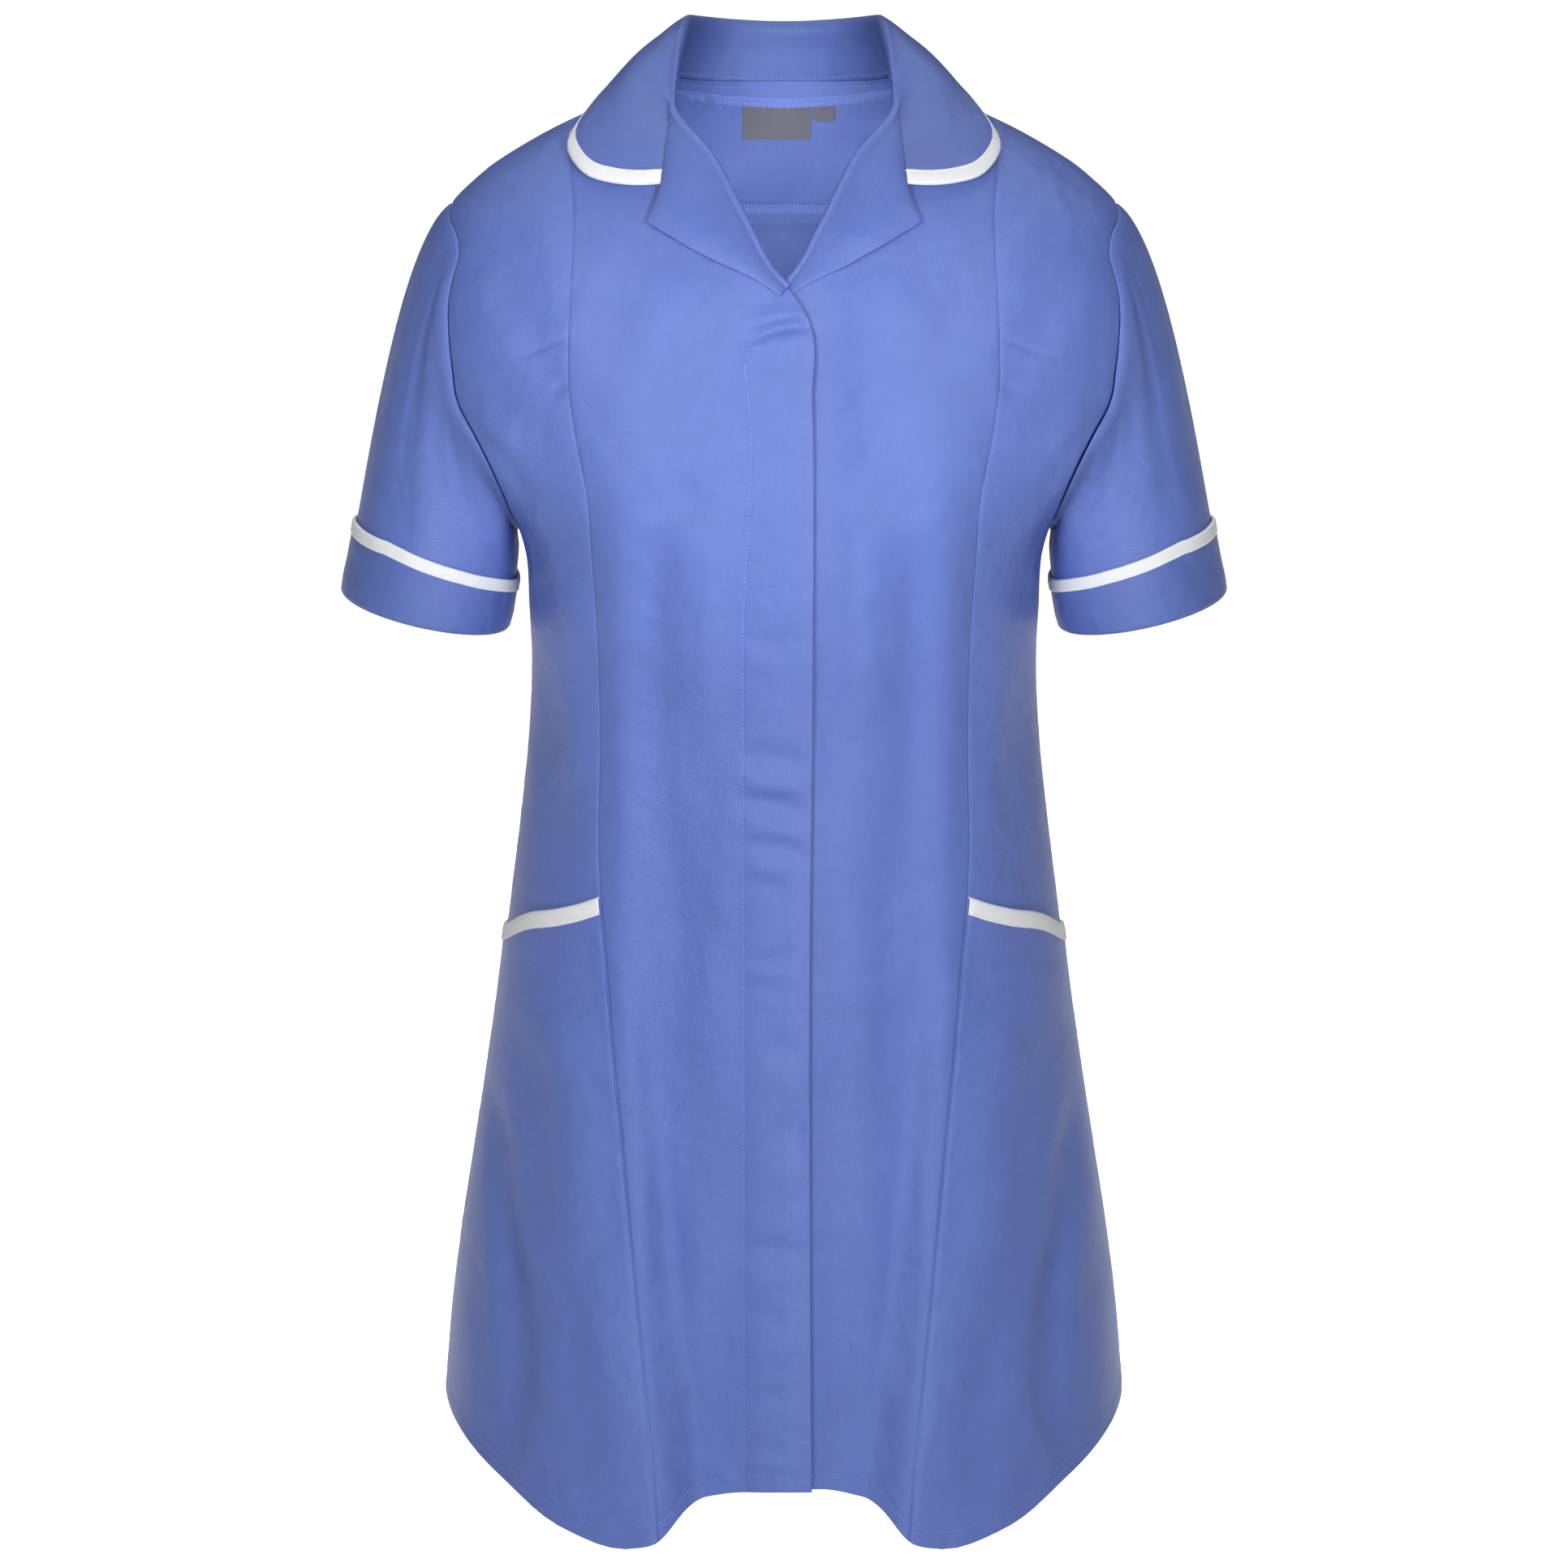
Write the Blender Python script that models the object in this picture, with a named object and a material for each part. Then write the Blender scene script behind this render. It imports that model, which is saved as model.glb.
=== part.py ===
"""Maternity tunic: every sewn piece as a thin closed cloth wall, at real size.

Millimetres in the tables, metres in Blender. +Z is up and the front faces -Y.
The origin lies midway between the two neck points, at their height, where shoulders hold it.
The wearer's right is at -X. Each right-hand piece is worked out first and mirrored for the left.
"""
import math

import bmesh
import bpy
import numpy as np

MM = 0.001

# Cloth walls and gaps
WALL = 1.5
COLLAR_WALL = 1.3
GAP = 0.3

# Marks on the body
UNDERARM_LEVEL = -255
SIDE_CLEARANCE = 0.35
SETTLING_STEPS = 8
ANGLE_STEP = 0.25
LEVEL_STEP = 0.5

# Body sections, from the neck down. Depths run from the side line to centre front and back.
# Columns: level, half_width, side_y, front, back, front_square, back_square
SECTIONS = (
    (-790, 200.5, 10, 186, 132, 2.0, 2.0),
    (-770, 198.5, 10, 184, 130, 2.0, 2.0),
    (-720, 194, 9, 177, 126, 2.0, 2.0),
    (-670, 187.5, 8, 167, 121, 2.0, 2.05),
    (-620, 179.5, 7, 157, 116, 2.0, 2.05),
    (-570, 171.5, 6, 148, 111, 2.0, 2.1),
    (-520, 164.0, 5, 141, 105, 2.05, 2.1),
    (-470, 157.5, 4, 135, 98, 2.1, 2.1),
    (-420, 151, 3, 130, 92, 2.1, 2.1),
    (-370, 145.5, 2, 127, 88, 2.1, 2.1),
    (-326, 143.5, 1, 128, 88, 2.15, 2.1),
    (-298, 144.5, 0, 130, 92, 2.2, 2.15),
    (-262, 147, 0, 130, 98, 2.25, 2.2),
    (-245, 152.5, 0, 129, 101, 2.3, 2.3),
    (-228, 163, 0, 127, 104, 2.35, 2.35),
    (-205, 180, 0, 124, 107, 2.4, 2.4),
    (-180, 195, 0, 119, 109, 2.4, 2.45),
    (-150, 203, 0, 112, 109, 2.4, 2.45),
    (-120, 202, 0, 104, 106, 2.4, 2.4),
    (-90, 195.5, 0.8, 94, 100, 2.3, 2.3),
    (-70, 185.8, 1.6, 85, 94, 2.2, 2.25),
    (-60, 175.5, 2.2, 79, 91, 2.15, 2.2),
    (-50, 163.5, 2.8, 72, 88, 2.1, 2.2),
    (-40, 148, 3.3, 65, 84, 2.05, 2.1),
    (-30, 130, 3.8, 58, 80, 2.0, 2.1),
    (-20, 109, 4.2, 50, 76, 2.0, 2.0),
    (-10, 86, 4.6, 43, 73, 2.0, 2.0),
    (0, 62, 5, 37, 70, 2.0, 2.0),
    (6, 48, 5, 30, 66, 2.0, 2.0),
)

# The hem's height round the body. Columns: angle from centre front, level
BODY_HEM = -770
HEM_LEVELS = (
    (0, -781), (10, -783), (16, -790), (21, -804), (26, -810), (38, -807),
    (50, -796), (65, -781), (90, -769), (120, -772), (180, -776),
)
HEM_DIP_STARTS = -560

# Folds: how far centre front falls back between the two crests. Columns: level, depth
CENTRE_RECESS = ((-790, 33), (-770, 31), (-700, 25), (-620, 18), (-520, 10), (-420, 4), (-330, 0), (0, 0))
RECESS_FLANK = 30
BUST_X = 88
BUST_LEVEL = -225
BUST_RISE = 9
BUST_WIDTH = 44
BUST_HEIGHT = 62
SIDE_VALLEY_X = 158
SIDE_VALLEY_WIDTH = 15
SIDE_VALLEY_DEPTH = 6
BACK_FOLD_RISE = 8
BACK_FOLDS_HALF = 3
BACK_FOLDS_START = -400

# Seam lines. Columns: level, distance from centre front on the piece's own side
PRINCESS_SEAM = (
    (-790, 69), (-777, 70), (-717, 75), (-648, 83), (-603, 88), (-541, 94), (-482, 99),
    (-444, 102.5), (-347, 102), (-298, 102.5), (-252, 105.5), (-217, 107.5), (-182, 114), (-151, 118),
    (-126, 117.5), (-64, 115.5), (-37, 118), (-23, 118),
)
FRONT_EDGE = (
    (-790, -16), (-500, -14.5), (-300, -16), (-160, -15.5), (-121, -14), (-108, -6.5),
    (-96, 5.2), (-66, 23), (-36, 41), (-13, 61.5), (-9, 62), (-5, 62), (-2, 62), (0, 62),
)
ARMHOLE_FRONT = (
    (-255, 150), (-240, 150.5), (-225, 152.5), (-207, 158), (-190, 167), (-171, 179), (-154, 182.7),
    (-140, 184.7), (-113, 184.7), (-102, 182), (-92, 179.5), (-81, 182), (-75, 186), (-70, 186),
)
ARMHOLE_BACK = (
    (-255, 150), (-245, 150.5), (-228, 157), (-192, 170), (-171, 176), (-140, 179), (-110, 181),
    (-90, 183), (-76, 185), (-72, 186.4), (-70, 186),
)

# Rows of the upper panels. Columns: level at the front edge, at the princess seam, at the armhole
UPPER_ROWS = (
    (0, -23, -70), (-2, -25, -71.5), (-5, -28, -75), (-9, -32.5, -80), (-13, -38, -87),
    (-22, -47, -96), (-34, -58, -107), (-50, -71, -119), (-68, -85, -132), (-88, -101, -146),
    (-107, -117, -160), (-121, -132, -174), (-140, -150, -188), (-162, -171, -203),
    (-188, -194, -219), (-216, -218, -236), (-243, -243, -255),
)
YOKE_ROW = 5
LOWER_LEVELS = (
    -270, -288, -310, -335, -365, -395, -430, -465, -500, -535, -570, -605, -638, -668, -696,
    -722, -747, -770,
)
FRONT_COLUMNS = (0, 0.06, 0.13, 0.21, 0.31, 0.44, 0.58, 0.72, 0.86, 1)
SIDE_COLUMNS = (0, 0.1, 0.21, 0.33, 0.46, 0.6, 0.74, 0.88, 1)
BACK_SHOULDER_COLUMNS = 5
BACK_NECK_COLUMNS = 7
BACK_NECK_DROP = 14.4
BACK_LOWER_LEVELS = (-288, -335, -395, -465, -535, -605, -668, -722, -747, -770)

# Concealed closure: the left front and the fly strip lie behind the right front
UNDERLAP_OFFSET = -4.7
UNDERLAP_FULL_AT = 22
UNDERLAP_GONE_AT = 50
FLY_WIDTH = 37
FLY_TOP = -121
FLY_COLUMNS = (0, 0.34, 0.68, 1)
FLY_SETBACK = 0.8
FLY_GAP = 0.5
HEM_SETBACK = 1.5

# Reveres. Columns: level on the roll line, distance and level of the outer edge
REVERE_ROWS = (
    (-13, 66.5, -52), (-20, 67.5, -56), (-29, 70.5, -63), (-38, 74.3, -71), (-50, 62, -77.5),
    (-63, 49, -84.5), (-76, 36, -90.5), (-88, 22, -96), (-97, 10, -102), (-103, 2.5, -107.5),
)
# Across a revere. Columns: share of the way to the outer edge, height of its under face
REVERE_LEG = ((1, 1.6), (0.8, 3.4), (0.55, 4.2), (0.3, 3.4), (0.12, 1.8))
# The rolled edge. Columns: distance from the front's edge, offset, for the outer and inner faces
ROLL_FACES = (
    (0.6, 2.1, 0.6, 0.8), (-1.3, 1.8, -0.8, 0.6), (-2.5, 0.5, -1.3, 0.0),
    (-2.9, -0.7, -1.6, -0.7), (-2.7, -1.6, -1.5, -1.3), (-2.3, -2.3, -1.3, -1.7),
)
TUCK_STARTS = 14
TUCK_ENDS = 40
TUCKED_HEIGHT = 0.7
REVERE_FULL_WIDTH = 30
ROLL_STEP = 3

# Collar. Columns of the fold: x, y, z. Columns of the outer edge: x, y
COLLAR_FOLD = (
    (0, 72, 23), (23, 68, 24.5), (42, 55, 27.5), (52.5, 34, 31), (55.5, 10, 32.5), (56.5, -4, 27),
    (57.5, -13, 16.5), (59, -21, 2), (60, -27, -10),
)
COLLAR_EDGE = (
    (0, 85), (30, 83.5), (58, 75), (80, 60), (93, 43), (99.5, 22), (102, 0), (107, -11), (112, -19.5),
    (116.5, -27), (117.5, -34), (115, -42), (107, -53), (93.5, -60.5), (78, -65), (66.5, -66.5),
)
COLLAR_STATIONS_HALF = 14
COLLAR_LIFT = 4.2
COLLAR_ARCH = 4.0
FOLD_RADIUS = 2.6
FOLD_ANGLES = (150, 90, 30)
FALL_SHARES = (0.25, 0.5, 0.75, 1)
BINDING_BAND = 9.0
STAND_CLEAR = 1.2
STAND_SHARES = (0.45, 0.75, 1)
GORGE_BLEND = 0.5
COLLAR_EASINGS = 2
# The binding folded over its edge. Columns: distance in and offset, outer face; the same, inner
COLLAR_BINDING_FACES = (
    (7.5, 1.4, 7.5, 0.4), (1.0, 1.4, 0.2, 0.4), (-1.3, 0.3, -0.4, 0), (-1.4, -1.3, -0.4, -1.3),
)

# Pocket, slanting from the princess seam down to the side seam. Columns: distance, top level
POCKET_TOP = ((70, -440), (102, -445), (115, -452), (125, -457), (148, -471), (158, -484), (165, -496))
POCKET_WALL = 1.4
POCKET_GAP = 0.5
POCKET_GAPE = 1.8
POCKET_INSET = 1.5
POCKET_CORNER_LEVEL = -441
POCKET_PLAIN_BELOW = -495
POCKET_GAPE_ENDS = -600
POCKET_GAPE_LENGTH = 120
# The binding folded over its edge. Columns: distance down and offset, outer face; the same, inner
POCKET_BINDING_FACES = (
    (9.0, 1.4, 9.0, 0.4), (1.0, 1.4, 0.3, 0.4), (-1.2, 0.5, -0.3, 0.1), (-1.3, -1.4, -0.3, -1.4),
)

# Sleeves hang from the armholes. The cuff ring is an ellipse tilted with the sleeve
CUFF_CENTRE = (203.5, -1, -299.5)
CUFF_HALF_WIDTH = 47.5
CUFF_HALF_DEPTH = 52
CUFF_TILT = 13
# How the sleeve leaves the armhole. Columns: share from shoulder tip to underarm, swing, reach
SLEEVE_LEAVES = (
    (0, 14, 118), (0.2, 12, 90), (0.4, 25, 62), (0.6, 50, 50), (0.8, 70, 42), (1, 90, 26),
)
SLEEVE_HANG = 190
SLEEVE_SHARES = (0, 0.05, 0.12, 0.22, 0.36, 0.52, 0.68, 0.825, 0.91, 1)
# Turned-back cuff and its binding. Columns: share of the sleeve's length and offset, for the
# outer face and then the inner one
CUFF_FACES = (
    (0.825, 1.8, 0.825, 0.35), (0.91, 1.8, 0.91, 0.35), (0.996, 1.8, 0.996, 0.35),
    (1.009, 0.8, 1.0035, 0.2), (1.008, -2.3, 1.0025, -1.6), (0.997, -3.3, 0.997, -1.9),
    (0.95, -3.3, 0.95, -1.9),
)
CUFF_BINDING_FACES = (
    (0.864, 3.2, 0.864, 2.2), (0.826, 3.2, 0.8235, 2.2), (0.817, 2.5, 0.823, 1.6),
    (0.816, 0.4, 0.8228, 0.4),
)

# Label and size tab, on the inside of the yoke. Columns: name, left, right, top, bottom
LABELS = (
    ("neck_label", -23.5, 15.5, -19, -45),
    ("size_tab", 16.5, 29, -19, -34),
)
LABEL_WALL = 1.0
LABEL_STEPS = 4
LABEL_DEPTH = 2.4

# Materials. Columns: colour, roughness
MATERIALS = {
    "blue_cotton": ((0.165, 0.235, 0.58, 1), 0.85),
    "white_trim": ((0.86, 0.87, 0.9, 1), 0.75),
    "grey_label": ((0.3, 0.3, 0.32, 1), 0.7),
}


def curve_through(rows):
    """Smooth function through a table's rows, from its first column to the rest."""
    table = np.array(sorted(rows), dtype=float)
    keys = table[:, 0]
    values = table[:, 1:]
    slopes = np.gradient(values, keys, axis=0)

    def at(place):
        place = np.clip(np.asarray(place, dtype=float), keys[0], keys[-1])
        row = np.clip(np.searchsorted(keys, place, side="right") - 1, 0, len(keys) - 2)
        span = (keys[row + 1] - keys[row])[..., None]
        share = ((place - keys[row]) / span[..., 0])[..., None]
        rest = 1 - share
        value = values[row] * (1 + 2 * share) * rest**2
        value += values[row + 1] * (3 - 2 * share) * share**2
        value += span * (slopes[row] * share * rest**2 - slopes[row + 1] * rest * share**2)
        return value[..., 0] if value.shape[-1] == 1 else value

    return at


def line_through(points, count):
    """Evenly spaced points on a smooth line through a few points."""
    points = np.array(points, dtype=float)
    steps = np.linalg.norm(np.diff(points, axis=0), axis=1)
    along = np.concatenate(([0], np.cumsum(steps)))
    rows = [(key, *point) for key, point in zip(along, points)]
    return curve_through(rows)(np.linspace(0, along[-1], count))


def smoothstep(share):
    share = np.clip(share, 0, 1)
    return share * share * (3 - 2 * share)


def unit(vectors):
    return vectors / np.linalg.norm(vectors, axis=-1, keepdims=True)


def blend(start, end, share):
    return start + (end - start) * share


section_at = curve_through(SECTIONS)
hem_at = curve_through(HEM_LEVELS)
recess_at = curve_through(CENTRE_RECESS)
princess_at = curve_through(PRINCESS_SEAM)
front_edge_at = curve_through(FRONT_EDGE)
armhole_front_at = curve_through(ARMHOLE_FRONT)
armhole_back_at = curve_through(ARMHOLE_BACK)
pocket_top_at = curve_through(POCKET_TOP)


def front_folds(distance, level):
    """How far the front moves back for its bust, centre recess and side valleys."""
    bust = ((distance - BUST_X) / BUST_WIDTH) ** 2 + ((level - BUST_LEVEL) / BUST_HEIGHT) ** 2
    flank = smoothstep((princess_at(level) + 3 - distance) / RECESS_FLANK)
    low = smoothstep((HEM_DIP_STARTS - level) / (HEM_DIP_STARTS - BODY_HEM))
    valley = SIDE_VALLEY_DEPTH * low * np.exp(-((distance - SIDE_VALLEY_X) / SIDE_VALLEY_WIDTH) ** 2)
    return recess_at(level) * flank + valley - BUST_RISE * np.exp(-bust)


def back_folds(angle, level):
    """How far the back moves out for its hanging folds."""
    low = smoothstep((BACK_FOLDS_START - level) / (BACK_FOLDS_START - BODY_HEM))
    turns = np.radians(180 - np.abs(angle)) * 2 * BACK_FOLDS_HALF
    return BACK_FOLD_RISE * low * np.cos(turns)


def body_face(angle, level):
    """Points on the body's outer face. The angle runs from centre front, in degrees."""
    angle, level = np.broadcast_arrays(np.asarray(angle, float), np.asarray(level, float))
    half_width, side_y, front, back, front_square, back_square = np.moveaxis(section_at(level), -1, 0)
    across = np.sin(np.radians(angle))
    ahead = np.cos(np.radians(angle))
    facing = ahead >= 0
    square = np.where(facing, front_square, back_square)
    depth = np.where(facing, front, back)
    reach = (np.abs(across) ** square + np.abs(ahead) ** square) ** (-1 / square)
    x = half_width * across * reach
    y = side_y - depth * ahead * reach
    clear_of_side = smoothstep(np.abs(ahead) / SIDE_CLEARANCE)
    shift = np.where(facing, front_folds(np.abs(x), level), back_folds(angle, level))
    y = y + shift * clear_of_side
    low = smoothstep((HEM_DIP_STARTS - level) / (HEM_DIP_STARTS - BODY_HEM))
    z = level + low * (hem_at(np.abs(angle)) - BODY_HEM)
    return np.stack((x, y, z), axis=-1)


def body_normal(angle, level):
    """Outward direction of the body's outer face."""
    turned = body_face(angle + ANGLE_STEP, level) - body_face(angle - ANGLE_STEP, level)
    raised = body_face(angle, level + LEVEL_STEP) - body_face(angle, level - LEVEL_STEP)
    return unit(np.cross(turned, raised))


def body_point(angle, level, offset):
    """Points over or under the body's outer face."""
    angle, level, offset = np.broadcast_arrays(
        np.asarray(angle, float), np.asarray(level, float), np.asarray(offset, float)
    )
    return body_face(angle, level) + body_normal(angle, level) * offset[..., None]


def angle_at(distance, level, back=False):
    """Angle from centre front at which the body is this far from its middle plane."""
    section = section_at(level)
    square = section[..., 5] if back else section[..., 4]
    share = np.clip(distance / section[..., 0], -1, 1)
    power = np.abs(share) ** square
    angle = np.degrees(np.arctan2(power ** (1 / square), (1 - power) ** (1 / square))) * np.sign(share)
    return 180 - angle if back else angle


def body_address(x, y):
    """Angle and level of the shoulder slope under a point of the plan, found by halving."""
    low, high = -130.0, 5.0
    for _ in range(40):
        level = (low + high) / 2
        half_width, side_y, front, back, front_square, back_square = section_at(level)
        depth, square = (front, front_square) if y < side_y else (back, back_square)
        outside = (abs(x) / half_width) ** square + (abs(y - side_y) / depth) ** square > 1
        low, high = (low, level) if outside else (level, high)
    return math.degrees(math.atan2(abs(x) / half_width, (side_y - y) / depth)), level


def inset(grid, sides, amount=GAP / 2):
    """Draws named sides of a grid of points in, for the gap at a seam."""
    grid = grid.copy()
    for side in sides:
        rows = grid if side in ("first_row", "last_row") else grid.swapaxes(0, 1)
        edge, inner = (0, 1) if side.startswith("first") else (-1, -2)
        rows[edge] += unit(rows[inner] - rows[edge]) * amount
    return grid


def sheet_solid(name, outer, inner, material, closed=False):
    """A closed wall between two grids of points. Closed joins the last row to the first."""
    rows, columns = outer.shape[:2]
    points = np.concatenate((outer.reshape(-1, 3), inner.reshape(-1, 3))) * MM
    inner_start = rows * columns
    faces = []

    def index(row, column):
        return (row % rows) * columns + column

    def quad(a, b, c, d):
        faces.append((a, b, c))
        faces.append((a, c, d))

    for row in range(rows if closed else rows - 1):
        for column in range(columns - 1):
            a, b = index(row, column), index(row, column + 1)
            c, d = index(row + 1, column + 1), index(row + 1, column)
            quad(a, b, c, d)
            faces.append((inner_start + a, inner_start + c, inner_start + b))
            faces.append((inner_start + a, inner_start + d, inner_start + c))
        for column in (0, columns - 1):
            a, b = index(row, column), index(row + 1, column)
            quad(a, b, inner_start + b, inner_start + a)
    if not closed:
        for row in (0, rows - 1):
            for column in range(columns - 1):
                a, b = index(row, column), index(row, column + 1)
                quad(a, b, inner_start + b, inner_start + a)

    mesh = bpy.data.meshes.new(name)
    mesh.from_pydata([tuple(point) for point in points], [], faces)
    work = bmesh.new()
    work.from_mesh(mesh)
    bmesh.ops.recalc_face_normals(work, faces=work.faces)
    work.to_mesh(mesh)
    work.free()
    mesh.materials.append(material_for(name, material))
    piece = bpy.data.objects.new(name, mesh)
    bpy.context.scene.collection.objects.link(piece)
    return piece


def material_for(piece_name, kind):
    colour, roughness = MATERIALS[kind]
    material = bpy.data.materials.new(f"{kind}_{piece_name}")
    material.use_nodes = True
    shader = material.node_tree.nodes["Principled BSDF"]
    shader.inputs["Base Color"].default_value = colour
    shader.inputs["Roughness"].default_value = roughness
    shader.inputs["Metallic"].default_value = 0
    material.diffuse_color = colour
    return material


def pair(name, outer, inner, material, closed=False):
    """The right-hand piece as given, and the left-hand one as its mirror image."""
    mirror = np.array((-1, 1, 1))
    sheet_solid(f"{name}_right", outer * mirror, inner * mirror, material, closed)
    sheet_solid(f"{name}_left", outer, inner, material, closed)


def row_levels():
    """Levels of every row at the front edge, the princess seam and the side."""
    upper = np.array(UPPER_ROWS, dtype=float)
    lower = np.repeat(np.array(LOWER_LEVELS, dtype=float)[:, None], 3, axis=1)
    return np.concatenate((upper, lower)).T


def front_grid():
    """Angles and levels of a front, from the princess seam to its edge, on the left side."""
    edge, princess, _ = row_levels()
    share = np.array(FRONT_COLUMNS)
    seam_angle = angle_at(princess_at(princess), princess)[:, None]
    edge_angle = angle_at(front_edge_at(edge), edge)[:, None]
    return blend(seam_angle, edge_angle, share), blend(princess[:, None], edge[:, None], share)


def side_grid():
    """Angles and levels of a side front, from the princess seam to armhole and side seam."""
    _, princess, side = row_levels()
    share = np.array(SIDE_COLUMNS)
    seam_angle = angle_at(princess_at(princess), princess)[:, None]
    side_angle = np.where(side > UNDERARM_LEVEL, angle_at(armhole_front_at(side), side), 90)[:, None]
    return blend(seam_angle, side_angle, share), blend(princess[:, None], side[:, None], share)


def underlap(distance):
    """Offset of the left front, which drops behind the right front near the centre."""
    share = (distance - UNDERLAP_FULL_AT) / (UNDERLAP_GONE_AT - UNDERLAP_FULL_AT)
    return UNDERLAP_OFFSET * (1 - smoothstep(share))


def make_fronts():
    angle, level = front_grid()
    sides = ("first_column", "first_row")
    mirror = np.array((-1, 1, 1))
    outer = inset(body_point(angle, level, 0), sides)
    inner = inset(body_point(angle, level, -WALL), sides)
    sheet_solid("front_right", outer * mirror, inner * mirror, "blue_cotton")
    drop = underlap(body_face(angle, level)[..., 0])
    outer = inset(body_point(angle, level, drop), sides)
    inner = inset(body_point(angle, level, drop - WALL), sides)
    sheet_solid("front_left", outer, inner, "blue_cotton")


def make_fly():
    """Strip behind the right front's edge that hides the fastening."""
    levels = np.concatenate((np.array(UPPER_ROWS)[:, 0], LOWER_LEVELS))
    levels = levels[levels <= FLY_TOP]
    levels[-1] += HEM_SETBACK
    edge = front_edge_at(levels) + FLY_SETBACK
    distance = edge[:, None] + np.array(FLY_COLUMNS) * FLY_WIDTH
    angle = -angle_at(distance, levels[:, None])
    offset = -WALL - FLY_GAP
    outer = body_point(angle, levels[:, None], offset)
    inner = body_point(angle, levels[:, None], offset - COLLAR_WALL)
    sheet_solid("fly_placket", outer, inner, "blue_cotton")


def make_side_fronts():
    angle, level = side_grid()
    sides = ("first_column", "last_column", "first_row")
    outer = inset(body_point(angle, level, 0), sides)
    inner = inset(body_point(angle, level, -WALL), sides)
    pair("side_front", outer, inner, "blue_cotton")


def back_neckline(share):
    """Angle and level of the back neckline, from the neck point (0) to centre back (1)."""
    return 90 + 90 * share, -BACK_NECK_DROP * smoothstep(share) ** 0.8


def mirrored_columns(half_grid, middle):
    """A grid carried on past its last column, each value mirrored about the middle one."""
    return np.concatenate((half_grid, 2 * middle - half_grid[..., -2::-1]), axis=-1)


def make_back():
    """Yoke from the shoulder seams and neckline to a level seam, and the back below it."""
    armhole_levels = np.array(UPPER_ROWS)[:, 2]
    upper = armhole_levels[: YOKE_ROW + 1]
    shoulder_share = np.linspace(1, 0, BACK_SHOULDER_COLUMNS + 1)[:-1]
    neck_angles, neck_levels = back_neckline(np.linspace(0, 1, BACK_NECK_COLUMNS + 1))
    top_angles = np.concatenate((np.full(BACK_SHOULDER_COLUMNS, 90.0), neck_angles))
    top_levels = np.concatenate((upper[0] * shoulder_share, neck_levels))
    armhole_angles = angle_at(armhole_back_at(upper), upper, back=True)
    armhole_angles[0] = 90
    seam_angles = np.linspace(armhole_angles[-1], 180, len(top_angles))

    share = ((upper - upper[0]) / (upper[-1] - upper[0]))[:, None]
    half_angle = blend(top_angles, seam_angles, share)
    settle = np.clip(1 - np.arange(len(top_angles)) / BACK_SHOULDER_COLUMNS, 0, 1)
    half_angle += (armhole_angles - half_angle[:, 0])[:, None] * settle
    half_level = blend(top_levels, upper[-1], share)
    angle = mirrored_columns(half_angle, 180)
    level = np.concatenate((half_level, half_level[..., -2::-1]), axis=-1)
    sides = ("first_column", "last_column", "first_row", "last_row")
    outer = inset(body_point(angle, level, 0), sides)
    inner = inset(body_point(angle, level, -WALL), sides)
    sheet_solid("back_yoke", outer, inner, "blue_cotton")

    side = np.concatenate((armhole_levels[YOKE_ROW:], BACK_LOWER_LEVELS))
    side_angle = np.where(side > UNDERARM_LEVEL, angle_at(armhole_back_at(side), side, back=True), 90)
    spread = np.linspace(0, 1, len(top_angles))
    angle = mirrored_columns(blend(side_angle[:, None], 180, spread), 180)
    level = np.repeat(side[:, None], angle.shape[1], axis=1)
    sides = ("first_column", "last_column", "first_row")
    outer = inset(body_point(angle, level, 0), sides)
    inner = inset(body_point(angle, level, -WALL), sides)
    sheet_solid("back_body", outer, inner, "blue_cotton")


def armhole_ring():
    """Angles and levels round the left armhole, from the shoulder tip down the front and back up."""
    levels = np.array(UPPER_ROWS)[:, 2]
    front = np.where(levels > UNDERARM_LEVEL, angle_at(armhole_front_at(levels), levels), 90)
    back = np.where(levels > UNDERARM_LEVEL, angle_at(armhole_back_at(levels), levels, back=True), 90)
    return np.concatenate((front, back[-2:0:-1])), np.concatenate((levels, levels[-2:0:-1]))


def sleeve_frame():
    """Start points, directions and cuff points of the left sleeve, one for each station."""
    angle, level = armhole_ring()
    count = len(level)
    start = body_face(angle, level)
    normal = body_normal(angle, level)
    along = unit(np.roll(start, -1, axis=0) - np.roll(start, 1, axis=0))
    away = unit(np.cross(along, normal))
    away *= np.sign(np.sum(away * np.array((1, 0, 0.6)), axis=1))[:, None]

    half = count // 2
    station = np.arange(count)
    around = np.minimum(station, count - station) / half
    swing, reach = np.moveaxis(curve_through(SLEEVE_LEAVES)(around), -1, 0)
    swing = np.radians(swing)[:, None]
    leave = away * np.cos(swing) + normal * np.sin(swing)

    turn = np.radians(station * 360 / count)
    tilt = math.radians(CUFF_TILT)
    wide = np.array((math.cos(tilt), 0, math.sin(tilt))) * CUFF_HALF_WIDTH
    deep = np.array((0, -1, 0)) * CUFF_HALF_DEPTH
    end = np.array(CUFF_CENTRE) + np.cos(turn)[:, None] * wide + np.sin(turn)[:, None] * deep
    hang = np.array((math.sin(tilt), 0, -math.cos(tilt))) * SLEEVE_HANG
    return start + away * GAP, leave * reach[:, None], end, hang


def sleeve_points(shares):
    """Grid of points on the left sleeve's outer face, by station and share of its length."""
    start, leave, end, hang = sleeve_frame()
    share = np.array(shares, dtype=float)[None, :, None]
    inside = np.minimum(share, 1)
    rest = 1 - inside
    points = start[:, None] * (1 + 2 * inside) * rest**2 + end[:, None] * (3 - 2 * inside) * inside**2
    points = points + leave[:, None] * inside * rest**2 - hang * rest * inside**2
    return points + hang * np.maximum(share - 1, 0)


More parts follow.
